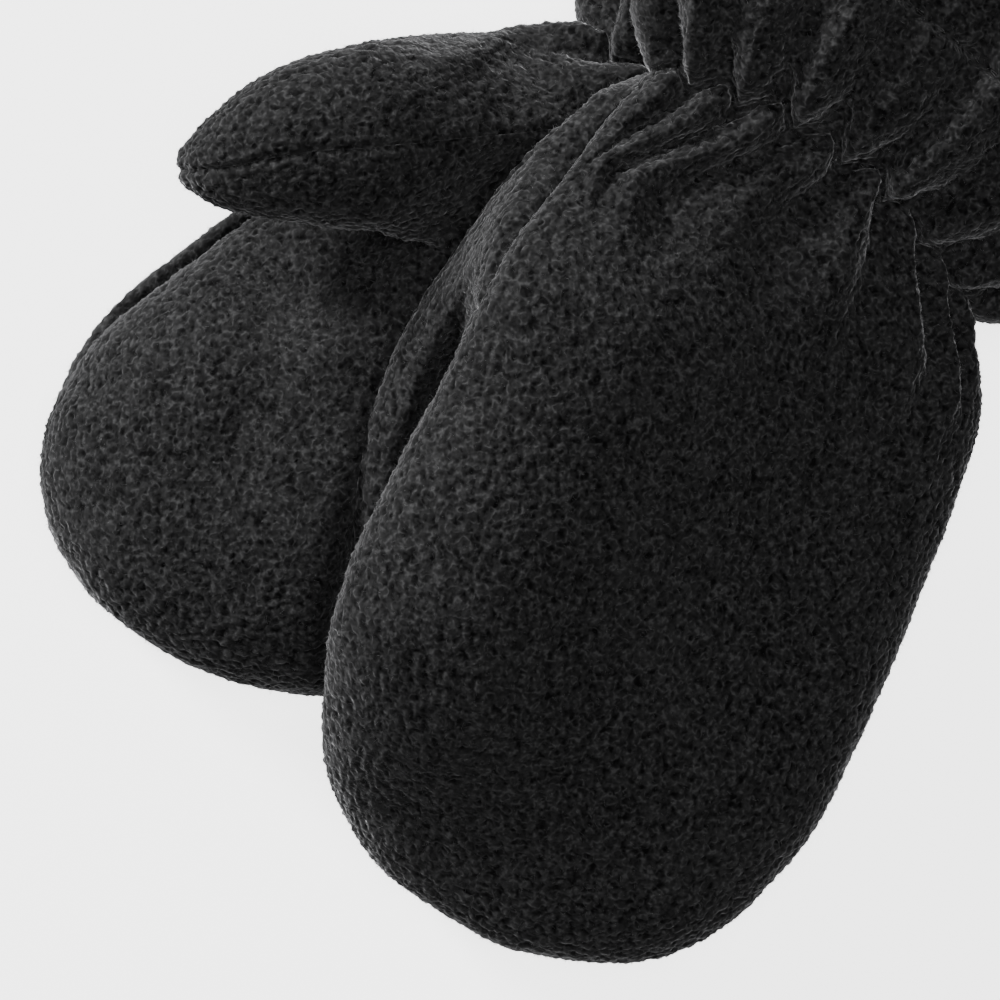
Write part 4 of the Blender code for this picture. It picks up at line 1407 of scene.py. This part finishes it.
@dataclass(frozen=True)
class FleeceRelief(SkinWork):
    """How deep the seams lie, how far the elastic pulls, and the size of the pile's curls."""

    TITLE: ClassVar[str] = "Fleece relief"

    material: bpy.types.Material
    seam_depth: float = 0.6
    seam_width: float = 1.1
    elastic_depth: float = 0.6
    elastic_width: float = 1.0
    hem_depth: float = 1.4
    hem_width: float = 1.5
    curl_height: float = 0.42
    curl_size: float = 1.05
    curl_level: float = 0.62  # how far from a curl's middle the pile is neither high nor low
    curl_share: float = 1.25
    curl_softness: float = 0.35
    curl_scatter: float = 0.9
    bend: float = 1.6  # how far the curls are bent out of place, in curl sizes
    bend_scale: float = 0.5  # how quickly the bend changes, against the curls
    tuft_scale: float = 1.3
    tuft_share: float = 1.5
    sag_height: float = 0.7
    sag_size: float = 16.0

    def inputs(self) -> dict[str, float]:
        """The tree's named inputs, in metres."""
        sizes = {
            "Seam depth": self.seam_depth,
            "Seam width": self.seam_width,
            "Elastic depth": self.elastic_depth,
            "Elastic width": self.elastic_width,
            "Hem depth": self.hem_depth,
            "Hem width": self.hem_width,
            "Curl height": self.curl_height,
            "Curl size": self.curl_size,
            "Sag height": 2.0 * self.sag_height,  # the noise goes half its height up and down
            "Sag size": self.sag_size,
        }
        return {name: size * MM for name, size in sizes.items()}

    def wired(self, wire: Wiring, given: bpy.types.bpy_prop_collection) -> bpy.types.NodeSocket:
        """Adds the nodes that press the sewn lines in and raise the pile.

        Args:
            wire: the tree's wiring.
            given: the tree's inputs.

        Returns:
            The skin with its relief, which keeps the pile's height as an attribute.
        """
        place = wire.node("GeometryNodeInputPosition").outputs[0]
        size = given["Curl size"]
        sunk = self.groove(wire, given, "Seam")
        for line in ("Elastic", "Hem"):
            sunk = wire.sum("MAXIMUM", sunk, self.groove(wire, given, line))
        warp = wire.noise(place, wire.sum("DIVIDE", self.bend_scale, size))
        shift = wire.vector("SUBTRACT", warp.outputs["Color"], (0.5, 0.5, 0.5))
        bent = wire.vector("ADD", place, wire.scaled(shift, wire.sum("MULTIPLY", size, self.bend)))
        curls = wire.node(
            "ShaderNodeTexVoronoi",
            {
                "Vector": bent,
                "Scale": wire.sum("DIVIDE", 1.0, size),
                "Smoothness": self.curl_softness,
                "Randomness": self.curl_scatter,
            },
            feature="SMOOTH_F1",
        )
        curl = wire.sum("SUBTRACT", self.curl_level, curls.outputs["Distance"])
        tufts = wire.noise(place, wire.sum("DIVIDE", self.tuft_scale, size), detail=2.0)
        tuft = wire.sum("MULTIPLY", wire.sum("SUBTRACT", tufts.outputs[0], 0.5), self.tuft_share)
        pile = wire.sum("ADD", wire.sum("MULTIPLY", curl, self.curl_share), tuft)
        sags = wire.noise(place, wire.sum("DIVIDE", 1.0, given["Sag size"]))
        sag = wire.sum("MULTIPLY", wire.sum("SUBTRACT", sags.outputs[0], 0.5), given["Sag height"])
        raised = wire.sum("ADD", wire.sum("MULTIPLY", pile, given["Curl height"]), sag)
        normal = wire.node("GeometryNodeInputNormal").outputs[0]
        offset = wire.scaled(normal, wire.sum("SUBTRACT", raised, sunk))
        kept = wire.node(
            "GeometryNodeStoreNamedAttribute",
            {"Geometry": given["Skin"], "Name": "pile", "Value": pile},
            data_type="FLOAT",
            domain="POINT",
        )
        moved = wire.node("GeometryNodeSetPosition", {"Geometry": kept.outputs[0], "Offset": offset})
        return moved.outputs[0]

    @staticmethod
    def groove(wire: Wiring, given: bpy.types.bpy_prop_collection, line: str) -> bpy.types.NodeSocket:
        """How deep the skin lies for its distance from one kind of sewn line.

        Args:
            wire: the tree's wiring.
            given: the tree's inputs.
            line: Seam, Elastic or Hem, which is also the name of the edges' attribute.

        Returns:
            The depth.
        """
        chosen = {"Geometry": given["Skin"], "Selection": wire.marked(line.lower())}
        edges = wire.node("GeometryNodeSeparateGeometry", chosen, domain="EDGE")
        near = wire.node("GeometryNodeProximity", {0: edges.outputs[0]}, target_element="EDGES")
        return wire.node(
            "ShaderNodeMapRange",
            {
                "Value": near.outputs["Distance"],
                "From Min": 0.0,
                "From Max": given[f"{line} width"],
                "To Min": given[f"{line} depth"],
                "To Max": 0.0,
            },
            interpolation_type="SMOOTHSTEP",
        ).outputs[0]


@dataclass(frozen=True)
class StitchRow(SkinWork):
    """The thread that holds a hem: a row of stitches along marked edges of a skin."""

    TITLE: ClassVar[str] = "Hem stitches"

    material: bpy.types.Material
    length: float = 2.4
    pitch: float = 3.1
    thickness: float = 0.42
    sides: int = 8
    steps: int = 6

    def inputs(self) -> dict[str, float]:
        """The tree's named inputs, in metres."""
        return {"Length": self.length * MM, "Pitch": self.pitch * MM, "Thickness": self.thickness * MM}

    def wired(self, wire: Wiring, given: bpy.types.bpy_prop_collection) -> bpy.types.NodeSocket:
        """Adds the nodes that lay the stitches.

        Args:
            wire: the tree's wiring.
            given: the tree's inputs.

        Returns:
            The stitches.
        """
        chosen = {"Mesh": given["Skin"], "Selection": wire.marked("hem")}
        line = wire.node("GeometryNodeMeshToCurve", chosen).outputs[0]
        spacing = {"Curve": line, "Length": given["Pitch"]}
        spaced = wire.node("GeometryNodeResampleCurve", spacing, mode="LENGTH").outputs[0]
        points = wire.node("GeometryNodeCurveToPoints", {0: spaced}, mode="EVALUATED")
        round_thread = {"Segments": self.sides, "Rings": self.steps, "Radius": 0.5}
        stitch = wire.node("GeometryNodeMeshUVSphere", round_thread)
        rotation = points.outputs["Rotation"]
        return wire.instanced(points, stitch, rotation, given["Thickness"], given["Length"])


@dataclass(frozen=True)
class StrayFibres(SkinWork):
    """Loose ends of the pile that stand off the skin."""

    TITLE: ClassVar[str] = "Stray fibres"

    material: bpy.types.Material
    density: float = 1.1  # for each square millimetre
    length: float = 0.75
    shortest: float = 0.4  # share of that length
    longest: float = 1.3
    thickness: float = 0.045
    lean: float = 0.9  # radians to any side
    whole_turn: float = 6.28
    sides: int = 3
    seed: int = 7

    def inputs(self) -> dict[str, float]:
        """The tree's named inputs, in metres."""
        density = self.density / MM**2
        return {"Density": density, "Length": self.length * MM, "Thickness": self.thickness * MM}

    def wired(self, wire: Wiring, given: bpy.types.bpy_prop_collection) -> bpy.types.NodeSocket:
        """Adds the nodes that plant the fibres.

        Args:
            wire: the tree's wiring.
            given: the tree's inputs.

        Returns:
            The fibres.
        """
        roots = wire.node(
            "GeometryNodeDistributePointsOnFaces",
            {
                "Mesh": given["Skin"],
                "Selection": wire.marked("planted"),
                "Density": given["Density"],
                "Seed": self.seed,
            },
            distribute_method="RANDOM",
        )
        pointed = {"Vertices": self.sides, "Radius Top": 0.0, "Radius Bottom": 0.5, "Depth": 1.0}
        spike = wire.node("GeometryNodeMeshCone", pointed, fill_type="NONE")
        least, most = (-self.lean, -self.lean, 0.0), (self.lean, self.lean, self.whole_turn)
        leaning = {0: least, 1: most, "Seed": self.seed + 1}
        tilt = wire.node("FunctionNodeRandomValue", leaning, data_type="FLOAT_VECTOR").outputs[0]
        turning = {"Rotation": roots.outputs["Rotation"], "Rotate By": tilt}
        turned = wire.node("FunctionNodeRotateRotation", turning, rotation_space="LOCAL").outputs[0]
        shares = {2: self.shortest, 3: self.longest, "Seed": self.seed + 2}
        growth = wire.node("FunctionNodeRandomValue", shares, data_type="FLOAT").outputs[1]
        length = wire.sum("MULTIPLY", given["Length"], growth)
        return wire.instanced(roots, spike, turned, given["Thickness"], length)


def evaluated(source: bpy.types.Object) -> bpy.types.Mesh:
    """The object's mesh with its modifiers applied, as a new mesh.

    Args:
        source: the object, which is left as it was.

    Returns:
        The new mesh.
    """
    graph = bpy.context.evaluated_depsgraph_get()
    graph.update()
    return bpy.data.meshes.new_from_object(source.evaluated_get(graph), depsgraph=graph)


def new_object(name: str, mesh: bpy.types.Mesh) -> bpy.types.Object:
    """Puts a mesh in the scene.

    Args:
        name: the object's name.
        mesh: its mesh.

    Returns:
        The object.
    """
    made = bpy.data.objects.new(name, mesh)
    bpy.context.scene.collection.objects.link(made)
    return made


def values_of(items: bpy.types.bpy_prop_collection, name: str, kind: type, width: int = 1) -> np.ndarray:
    """One value of every item of a mesh, as an array.

    Args:
        items: the mesh's points, edges, faces or values.
        name: which of their values.
        kind: the numbers' type.
        width: how many numbers each value has.

    Returns:
        The values.
    """
    values = np.empty(len(items) * width, kind)
    items.foreach_get(name, values)
    return values.reshape(-1, width) if width > 1 else values


def boundary_loops(faces: Sequence[Sequence[int]]) -> list[list[int]]:
    """The open edges of a mesh, walked the way its faces run.

    Args:
        faces: the corners of each face.

    Returns:
        The points' numbers along each open edge.
    """
    sides = {(a, b) for face in faces for a, b in zip(face, [*face[1:], face[0]])}
    after = {a: b for a, b in sides if (b, a) not in sides}
    loops = []
    while after:
        start, here = after.popitem()
        loop = [start]
        while here != start:
            loop.append(here)
            here = after.pop(here)
        loops.append(loop)
    return loops


def zipped(outer: Sequence[int], inner: Sequence[int], points: np.ndarray) -> list[list[int]]:
    """Triangles that join a loop with a coarser one that runs beside it the same way round.

    Args:
        outer: the numbers of the finer loop's points, a whole number for each of the inner ones.
        inner: the numbers of the coarser loop's points.
        points: where the points are.

    Returns:
        The triangles.
    """
    each = len(outer) // len(inner)
    fine, coarse = np.asarray(outer), points[list(inner)]
    apart = [
        np.linalg.norm(points[np.roll(fine, -start)[::each]] - coarse, axis=1).sum()
        for start in range(len(outer))
    ]
    fine = np.roll(fine, -int(np.argmin(apart))).tolist()
    fine.append(fine[0])
    faces = []
    for i, here in enumerate(inner):
        after = inner[(i + 1) % len(inner)]
        for k in range(each):
            one, other = fine[i * each + k], fine[i * each + k + 1]
            if k == each // 2:
                faces.append([one, here, after])
            faces.append([other, one, here if k < each // 2 else after])
    return faces


def body_normals(points: np.ndarray, faces: Sequence[Sequence[int]]) -> np.ndarray:
    """The outward direction at each point of a surface.

    Args:
        points: the surface's points.
        faces: its faces, with three or four corners each.

    Returns:
        The directions at length 1.
    """
    normals = np.zeros_like(points)
    for size in (3, 4):
        rings = np.array([face for face in faces if len(face) == size])
        if not len(rings):
            continue
        corners = points[rings]
        area = np.cross(corners[:, 1] - corners[:, 0], corners[:, -1] - corners[:, 0])
        area += np.cross(corners[:, 2] - corners[:, 1], corners[:, -1] - corners[:, 1])
        for k in range(size):
            np.add.at(normals, rings[:, k], area)
    return unit(normals)


def eased(normals: np.ndarray, faces: Sequence[Sequence[int]], rounds: int) -> np.ndarray:
    """The directions, each shared with its neighbours' a number of times.

    Args:
        normals: the directions at the points of a surface.
        faces: its faces.
        rounds: how many times.

    Returns:
        The evened directions at length 1.
    """
    quads = np.array([[*face, *face[-1:] * (4 - len(face))] for face in faces])
    for _ in range(rounds):
        middle = normals[quads].sum(axis=1)
        shared = normals.copy()
        for k in range(4):
            np.add.at(shared, quads[:, k], 0.25 * middle)
        normals = unit(shared)
    return normals


@dataclass(frozen=True)
class FleeceFinish:
    """Black polar fleece: its dye, with painted shade in the pile's hollows and painted glints on its
    loops, the sheen of its pile and the grain of its fibres.
    """

    name: str
    # painted shade: the colour of the pile's low places between the curls, standing in for the shade that
    # falls there
    deep: tuple[float, float, float] = (0.0012, 0.0012, 0.0013)
    # the fleece's own colour on the tops of the pile
    tip: tuple[float, float, float] = (0.0290, 0.0290, 0.0295)
    # painted glint: a brighter colour laid on the middles of the loops, standing in for light caught on
    # fibre ends
    glint: tuple[float, float, float] = (0.0480, 0.0480, 0.0490)
    roughness: float = 0.92
    specular: float = 0.08
    sheen: float = 0.42
    sheen_roughness: float = 0.38
    sheen_tint: tuple[float, float, float] = (0.90, 0.90, 0.92)
    loop_size: float = 1.25
    loop_height: float = 0.11

    def material(self, grain: bpy.types.NodeTree) -> bpy.types.Material:
        """Builds the material.

        Args:
            grain: the shader group that gives the fleece's colour, with its painted shade and painted
                glints, and its fine height.

        Returns:
            The material.
        """
        material = bpy.data.materials.new(self.name)
        material.use_nodes = True
        wire = Wiring(material.node_tree)
        group = wire.node(
            "ShaderNodeGroup",
            {
                "Position": wire.node("ShaderNodeTexCoord").outputs["Object"],
                "Pile": wire.node("ShaderNodeAttribute", attribute_name="pile").outputs["Fac"],
                "Deep": (*self.deep, 1.0),
                "Tip": (*self.tip, 1.0),
                "Glint": (*self.glint, 1.0),
                "Loop size": self.loop_size * MM,
            },
            node_tree=grain,
        )
        relief = {"Height": group.outputs["Height"], "Distance": self.loop_height * MM}
        bump = wire.node("ShaderNodeBump", relief)
        shader = material.node_tree.nodes["Principled BSDF"]
        wire.tree.links.new(group.outputs["Colour"], shader.inputs["Base Color"])
        wire.tree.links.new(bump.outputs[0], shader.inputs["Normal"])
        for name, value in {
            "Roughness": self.roughness,
            "Specular IOR Level": self.specular,
            "Sheen Weight": self.sheen,
            "Sheen Roughness": self.sheen_roughness,
            "Sheen Tint": (*self.sheen_tint, 1.0),
        }.items():
            shader.inputs[name].default_value = value
        return material


@dataclass(frozen=True)
class FleeceGrain:
    """The grain of fleece: curled loops of yarn, with painted shade between them and painted glints on
    them.
    """

    loop_width: float = 0.16  # of the noise on each side of a loop's middle
    loop_share: float = 0.45  # how high the loops stand, against the tufts
    loop_roughness: float = 0.45
    tuft_scale: float = 1.7  # against the loops
    cloud_scale: float = 55.0  # for each metre
    cloud_share: float = 0.3
    pile_share: float = 0.85
    level: tuple[float, float] = (0.40, 1.62)  # from wholly dark to wholly lit
    glint_width: float = 0.11
    glint_patches: tuple[float, float] = (0.46, 0.66)

    def group(self) -> bpy.types.NodeTree:
        """Builds the shader group.

        Returns:
            The group, which gives a colour with painted shade and painted glints, and a fine height, for a
            place and the pile there.
        """
        tree = bpy.data.node_groups.new("Fleece grain", "ShaderNodeTree")
        wire = Wiring(tree)
        wire.socket("Position", "NodeSocketVector")
        wire.socket("Pile", "NodeSocketFloat")
        for name in ("Deep", "Tip", "Glint"):
            wire.socket(name, "NodeSocketColor")
        wire.socket("Loop size", "NodeSocketFloat")
        wire.socket("Colour", "NodeSocketColor", "OUTPUT")
        wire.socket("Height", "NodeSocketFloat", "OUTPUT")
        given = wire.node("NodeGroupInput").outputs
        place, size = given["Position"], given["Loop size"]
        bends = wire.noise(place, wire.sum("DIVIDE", 1.0, size), roughness=self.loop_roughness)
        from_loop = wire.sum("ABSOLUTE", wire.sum("SUBTRACT", bends.outputs[0], 0.5))
        loops = wire.ramp(from_loop, self.loop_width, 0.0)
        tufts = wire.noise(place, wire.sum("DIVIDE", self.tuft_scale, size)).outputs[0]
        height = wire.sum("ADD", wire.sum("MULTIPLY", loops, self.loop_share), tufts)
        clouds = wire.noise(place, self.cloud_scale, detail=2.0).outputs[0]
        # Painted shade: the colour darkens where the pile and the fine loops lie low, as shade would fall
        # between the curls; the clouds add random tone
        piled = wire.sum("ADD", height, wire.sum("MULTIPLY", given["Pile"], self.pile_share))
        level = wire.sum("ADD", piled, wire.sum("MULTIPLY", clouds, self.cloud_share))
        between = {"Value": level, "From Min": self.level[0], "From Max": self.level[1]}
        share = wire.node("ShaderNodeMapRange", between).outputs[0]
        # Painted glint: where a loop's middle falls in a patch the colour turns brighter, the more where
        # the pile is high
        curls = wire.ramp(from_loop, self.glint_width, 0.0)
        patches = wire.ramp(tufts, *self.glint_patches)
        glinting = wire.sum("MULTIPLY", wire.sum("MULTIPLY", curls, patches), share)
        colour = wire.mixed(share, given["Deep"], given["Tip"])
        wire.node("NodeGroupOutput", {0: wire.mixed(glinting, colour, given["Glint"]), 1: height})
        return tree


class Cloth(NamedTuple):
    """Both sides of a mitten's cloth in coarse cells."""

    outer: np.ndarray
    inner: np.ndarray
    faces: list[list[int]]
    parts: np.ndarray  # the value of the Part that each face is cut from


class Mitten:
    """One mitten: its skin, its four cut pieces, the hem's thread and the stray fibres."""

    # Each piece as it is cut flat: width, length and area in metres and square metres.
    CUTS = {
        ("left", Part.BACK): (0.084, 0.124, 0.0095),
        ("left", Part.PALM): (0.100, 0.115, 0.0084),
        ("left", Part.HEEL): (0.090, 0.078, 0.0032),
        ("left", Part.CUFF): (0.216, 0.042, 0.0080),
        ("right", Part.BACK): (0.078, 0.112, 0.0067),
        ("right", Part.PALM): (0.095, 0.105, 0.0073),
        ("right", Part.HEEL): (0.080, 0.070, 0.0022),
        ("right", Part.CUFF): (0.178, 0.041, 0.0062),
    }
    FIBRES_DOWN_TO = -0.35  # a face that looks further down than this has no stray fibres

    def __init__(self, shape: MittenShape, cut: Cut, lean: Lean, above: Sequence[Outline] = ()) -> None:
        """Draws the skin.

        Args:
            shape: the mitten's sizes.
            cut: how it is cut.
            lean: the plane between the mittens.
            above: the outlines of the mitten on top of this one.
        """
        self.shape, self.cut, self.lean = shape, cut, lean
        self.skin = MittenSkin(shape, cut, lean, above)

    def cloth(self) -> Cloth:
        """The skin as cloth, with its folds and its thickness.

        Returns:
            The cloth, whose inner points have the numbers of the outer ones.
        """
        skin = self.skin
        faces, parts = skin.faces()
        base = skin.relaxed()
        normals = body_normals(base, faces)
        ripple = (skin.ripples + self.folded(base, normals))[:, None]
        inward = skin.walls[:, None] * eased(normals, faces, self.cut.lining_rounds)
        outer = base + ripple * normals
        inner = base + self.cut.lining_share * ripple * normals - inward
        if self.shape.palm_up:
            floor = np.zeros(len(outer))
            outer[:, 2] = np.minimum(outer[:, 2], skin.ceiling(outer[:, :2]))
        else:
            floor = np.maximum(self.lean.at(outer[:, :2]) + self.lean.gap, 0.0)
        outer[:, 2] = np.maximum(outer[:, 2], floor)
        inner[:, 2] = np.maximum(inner[:, 2], floor + 0.5 * FLEECE_WALL)
        return Cloth(outer, inner, faces, parts)

    def folded(self, points: np.ndarray, normals: np.ndarray) -> np.ndarray:
        """How far the listed folds raise each point.

        Args:
            points: points in the pair's plan.
            normals: the outward direction at each.

        Returns:
            A height for each point.
        """
        plan = self.skin.plan
        raised = np.zeros(len(points))
        for fold in self.shape.folds:
            line = plan.place(np.array([fold.start, fold.end]))
            away = distance_to(line, points[:, :2]) / (0.5 * fold.width)
            facing = smoothstep(normals[:, 2] if fold.upper else -normals[:, 2], 0.0, 0.4)
            raised += fold.height * facing * np.exp(-away * away)
        return raised

    def control(self, cloth: Cloth) -> bpy.types.Object:
        """Lays the cloth's outer side with its turned hem.

        Args:
            cloth: the mitten's cloth.

        Returns:
            The coarse skin.
        """
        outer, inner = cloth.outer, cloth.inner
        ring = self.skin.cuff_grid[-1]
        before = self.skin.cuff_grid[-2]
        ahead = unit(outer[ring] - outer[before])
        normals = unit(outer[ring] - inner[ring])
        radius = 0.5 * HEM_WALL
        turned, numbers = [], [ring]
        for angle in np.radians(self.cut.hem_turn):
            turn = np.cos(angle) * normals + np.sin(angle) * ahead
            turned.append(outer[ring] - radius * normals + radius * turn)
            numbers.append(len(outer) + (len(turned) - 1) * len(ring) + np.arange(len(ring)))
        hem_line = int(np.argmin(np.abs(self.cut.cuff_rows - self.cut.hem_line)))
        hem_points = set(self.skin.cuff_grid[hem_line + 1 :].ravel().tolist())
        marks = [
            HEM if part == Part.CUFF.value and hem_points & set(face) else int(part)
            for face, part in zip(cloth.faces, cloth.parts)
        ]
        faces = list(cloth.faces)
        for near, far in zip(numbers, numbers[1:]):
            faces += np.stack([near, np.roll(near, -1), np.roll(far, -1), far], axis=-1).tolist()
            marks += [HEM] * len(ring)
        mesh = bpy.data.meshes.new(f"{self.shape.name} skin")
        mesh.from_pydata(in_row(np.vstack([outer, *turned])).tolist(), [], faces)
        mesh.attributes.new("part", "INT", "FACE").data.foreach_set("value", marks)
        return new_object(mesh.name, mesh)

    def fine(self, control: bpy.types.Object, detail: Detail, relief: FleeceRelief) -> bpy.types.Object:
        """The skin with small cells, its sewn lines marked and its relief pressed in.

        Args:
            control: the coarse skin.
            detail: how often its cells are halved.
            relief: the relief.

        Returns:
            The fine skin.
        """
        modifier = control.modifiers.new("Cells", "SUBSURF")
        modifier.levels = modifier.render_levels = detail.value
        mesh = evaluated(control)
        control.modifiers.remove(modifier)
        self.mark_lines(mesh)
        fine = new_object(f"{self.shape.name} fine skin", mesh)
        fine.data = relief.grown(fine)
        return fine

    def mark_lines(self, mesh: bpy.types.Mesh) -> None:
        """Marks the edges of seams, of the elastic and of the hem, and the faces with fibres.

        Args:
            mesh: the fine skin's mesh, whose faces know their part.
        """
        parts = values_of(mesh.attributes["part"].data, "value", np.int32)
        totals = values_of(mesh.polygons, "loop_total", np.int32)
        edges = values_of(mesh.loops, "edge_index", np.int32)
        of_loop = np.repeat(parts, totals)
        low, high = np.full(len(mesh.edges), HEM), np.full(len(mesh.edges), OPEN)
        np.minimum.at(low, edges, of_loop)
        np.maximum.at(high, edges, of_loop)
        for name, marked in {
            "seam": (low != high) & (high < Part.CUFF.value),
            "elastic": (low < Part.CUFF.value) & (high == Part.CUFF.value),
            "hem": (low == Part.CUFF.value) & (high == HEM),
        }.items():
            mesh.attributes.new(name, "BOOLEAN", "EDGE").data.foreach_set("value", marked)
        normals = values_of(mesh.polygons, "normal", np.float32, 3)
        planted = normals[:, 2] > self.FIBRES_DOWN_TO
        mesh.attributes.new("planted", "BOOLEAN", "FACE").data.foreach_set("value", planted)

    def piece(self, part: Part, fine: bpy.types.Object, cloth: Cloth) -> bpy.types.Object:
        """One cut piece as a closed wall of cloth.

        Args:
            part: which piece.
            fine: the fine skin.
            cloth: the mitten's cloth, whose inner side lines the piece.

        Returns:
            The piece.
        """
        mesh = fine.data
        marks = values_of(mesh.attributes["part"].data, "value", np.int32)
        marks = np.where(marks == HEM, Part.CUFF.value, marks)
        corners = [list(p.vertices) for p, mark in zip(mesh.polygons, marks) if mark == part.value]
        places = values_of(mesh.vertices, "co", np.float32, 3).astype(float)
        pile = values_of(mesh.attributes["pile"].data, "value", np.float32)
        used = np.unique(np.concatenate([np.asarray(c) for c in corners]))
        number = np.full(len(places), -1)
        number[used] = np.arange(len(used))
        shell = [number[c].tolist() for c in corners]
        lining = [face for face, owner in zip(cloth.faces, cloth.parts) if owner == part.value]
        used_inner = sorted({i for face in lining for i in face})
        behind = {point: len(used) + i for i, point in enumerate(used_inner)}
        lining = [[behind[i] for i in face] for face in lining]
        points = np.vstack([places[used], in_row(cloth.inner[used_inner])])
        rims = []
        inner_loops = boundary_loops(lining)
        for loop in boundary_loops(shell):
            middle = points[loop].mean(axis=0)
            apart = [np.linalg.norm(points[other].mean(axis=0) - middle) for other in inner_loops]
            rims += zipped(loop, inner_loops[int(np.argmin(apart))], points)
        name = f"{self.shape.name}_{part.word}_fleece"
        made = bpy.data.meshes.new(name)
        made.from_pydata(points.tolist(), [], shell + [face[::-1] for face in lining] + rims)
        curls = np.concatenate([pile[used], np.zeros(len(used_inner))]).astype(np.float32)
        made.attributes.new("pile", "FLOAT", "POINT").data.foreach_set("value", curls)
        made.shade_smooth()
        return new_object(name, made)

    def build(
        self, relief: FleeceRelief, stitches: StitchRow, fibres: StrayFibres
    ) -> list[bpy.types.Object]:
        """Sews the mitten together and puts its pieces in the scene.

        Args:
            relief: the fleece and its relief.
            stitches: the hem's thread.
            fibres: the loose fibres.

        Returns:
            The mitten's pieces.
        """
        cloth = self.cloth()
        control = self.control(cloth)
        skins = {detail: self.fine(control, detail, relief) for detail in Detail}
        made = []
        for part in Part:
            detail = Detail.HIDDEN if part in self.shape.hidden else Detail.SHOWN
            piece = self.piece(part, skins[detail], cloth)
            piece.data.materials.append(relief.material)
            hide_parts(f"{self.shape.name}_{part.word}")
            made.append(piece)
        for work, word in ((stitches, "hem_stitches"), (fibres, "stray_fibres")):
            mesh = work.grown(skins[Detail.SHOWN])
            mesh.shade_smooth()
            made.append(new_object(f"{self.shape.name}_{word}", mesh))
        for piece in made:
            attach(piece, "root")
            log.info("%s: %d faces", piece.name, len(piece.data.polygons))
        for used in [control, *skins.values()]:
            bpy.data.objects.remove(used, do_unlink=True)
        return made


@dataclass(frozen=True)
class SoftLight:
    """An area light that faces the middle of the pair."""

    name: str
    place: tuple[float, float, float]
    size: float
    power: float

    def build(self, target: Vector) -> None:
        """Hangs the light.

        Args:
            target: the place that it faces.
        """
        data = bpy.data.lights.new(self.name, "AREA")
        data.shape = "DISK"
        data.size, data.energy = self.size, self.power
        lamp = bpy.data.objects.new(self.name, data)
        lamp.location = self.place
        lamp.rotation_euler = (target - Vector(self.place)).to_track_quat("-Z", "Y").to_euler()
        bpy.context.scene.collection.objects.link(lamp)


@dataclass(frozen=True)
class Studio:
    """A pale floor, soft lights and the camera straight above."""

    height: float = 0.600
    across: float = 0.1365  # width of the view at the mittens' upper side
    over: float = 0.572
    sensor: float = 36.0
    lights: tuple[SoftLight, ...] = (
        SoftLight("window", (-1.07, 0.95, 0.52), 0.4, 45.0),
        SoftLight("sky", (0.1, 0.1, 1.8), 1.2, 24.0),
    )
    ambient: float = 0.06
    clip: tuple[float, float] = (0.01, 10.0)
    floor_side: float = 3.0
    floor_roughness: float = 0.9
    floor_colour: float = 0.20
    floor_glow: float = 3.2  # as the camera sees it
    floor_shade: float = 0.80  # the floor's own colour, as the camera sees it

    def build(self) -> None:
        """Lays the floor, hangs the lights and sets the camera."""
        middle = Vector((-PAIR_CENTRE[0] * MM, -PAIR_CENTRE[1] * MM, 0.0))
        self.lay_floor()
        for light in self.lights:
            light.build(middle)
        world = bpy.data.worlds.new("studio")
        world.use_nodes = True
        background = world.node_tree.nodes["Background"]
        background.inputs["Color"].default_value = (1.0, 1.0, 1.0, 1.0)
        background.inputs["Strength"].default_value = self.ambient
        bpy.context.scene.world = world
        data = bpy.data.cameras.new("camera")
        data.sensor_width = self.sensor
        data.lens = self.sensor * self.over / self.across
        data.clip_start, data.clip_end = self.clip
        camera = bpy.data.objects.new("camera", data)
        camera.location = middle + Vector((0.0, 0.0, self.height))
        bpy.context.scene.collection.objects.link(camera)
        bpy.context.scene.camera = camera

    def lay_floor(self) -> None:
        """A pale matt board, whose glow only the camera sees, so that it lights no mitten."""
        half = 0.5 * self.floor_side
        mesh = bpy.data.meshes.new("floor")
        corners = [(-half, -half, 0), (half, -half, 0), (half, half, 0), (-half, half, 0)]
        mesh.from_pydata(corners, [], [(0, 1, 2, 3)])
        material = bpy.data.materials.new("pale board")
        material.use_nodes = True
        shader = material.node_tree.nodes["Principled BSDF"]
        shader.inputs["Roughness"].default_value = self.floor_roughness
        shader.inputs["Specular IOR Level"].default_value = 0.0
        shader.inputs["Emission Color"].default_value = (1.0, 1.0, 1.0, 1.0)
        wire = Wiring(material.node_tree)
        seen = wire.node("ShaderNodeLightPath").outputs["Is Camera Ray"]
        pale = wire.sum("MULTIPLY_ADD", seen, self.floor_shade - self.floor_colour, self.floor_colour)
        wire.tree.links.new(pale, shader.inputs["Base Color"])
        wire.tree.links.new(wire.sum("MULTIPLY", seen, self.floor_glow), shader.inputs["Emission Strength"])
        mesh.materials.append(material)
        new_object("floor", mesh)


def main() -> None:
    """Builds both mittens and the studio, and logs how many faces each piece has."""
    logging.basicConfig(level=logging.INFO, format="%(message)s")
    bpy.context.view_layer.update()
    Studio().build()
    cut, lean = Cut(), Lean()
    grain = FleeceGrain().group()
    fleece = FleeceFinish("black fleece").material(grain)
    thread = FleeceFinish("black thread", sheen=0.5, loop_height=0.02).material(grain)
    relief, stitches, fibres = FleeceRelief(fleece), StitchRow(thread), StrayFibres(thread)
    left = Mitten(LEFT, cut, lean)
    right = Mitten(RIGHT, cut, lean, left.skin.outlines())
    for mitten in (left, right):
        mitten.build(relief, stitches, fibres)


if __name__ == "__main__":
    main()
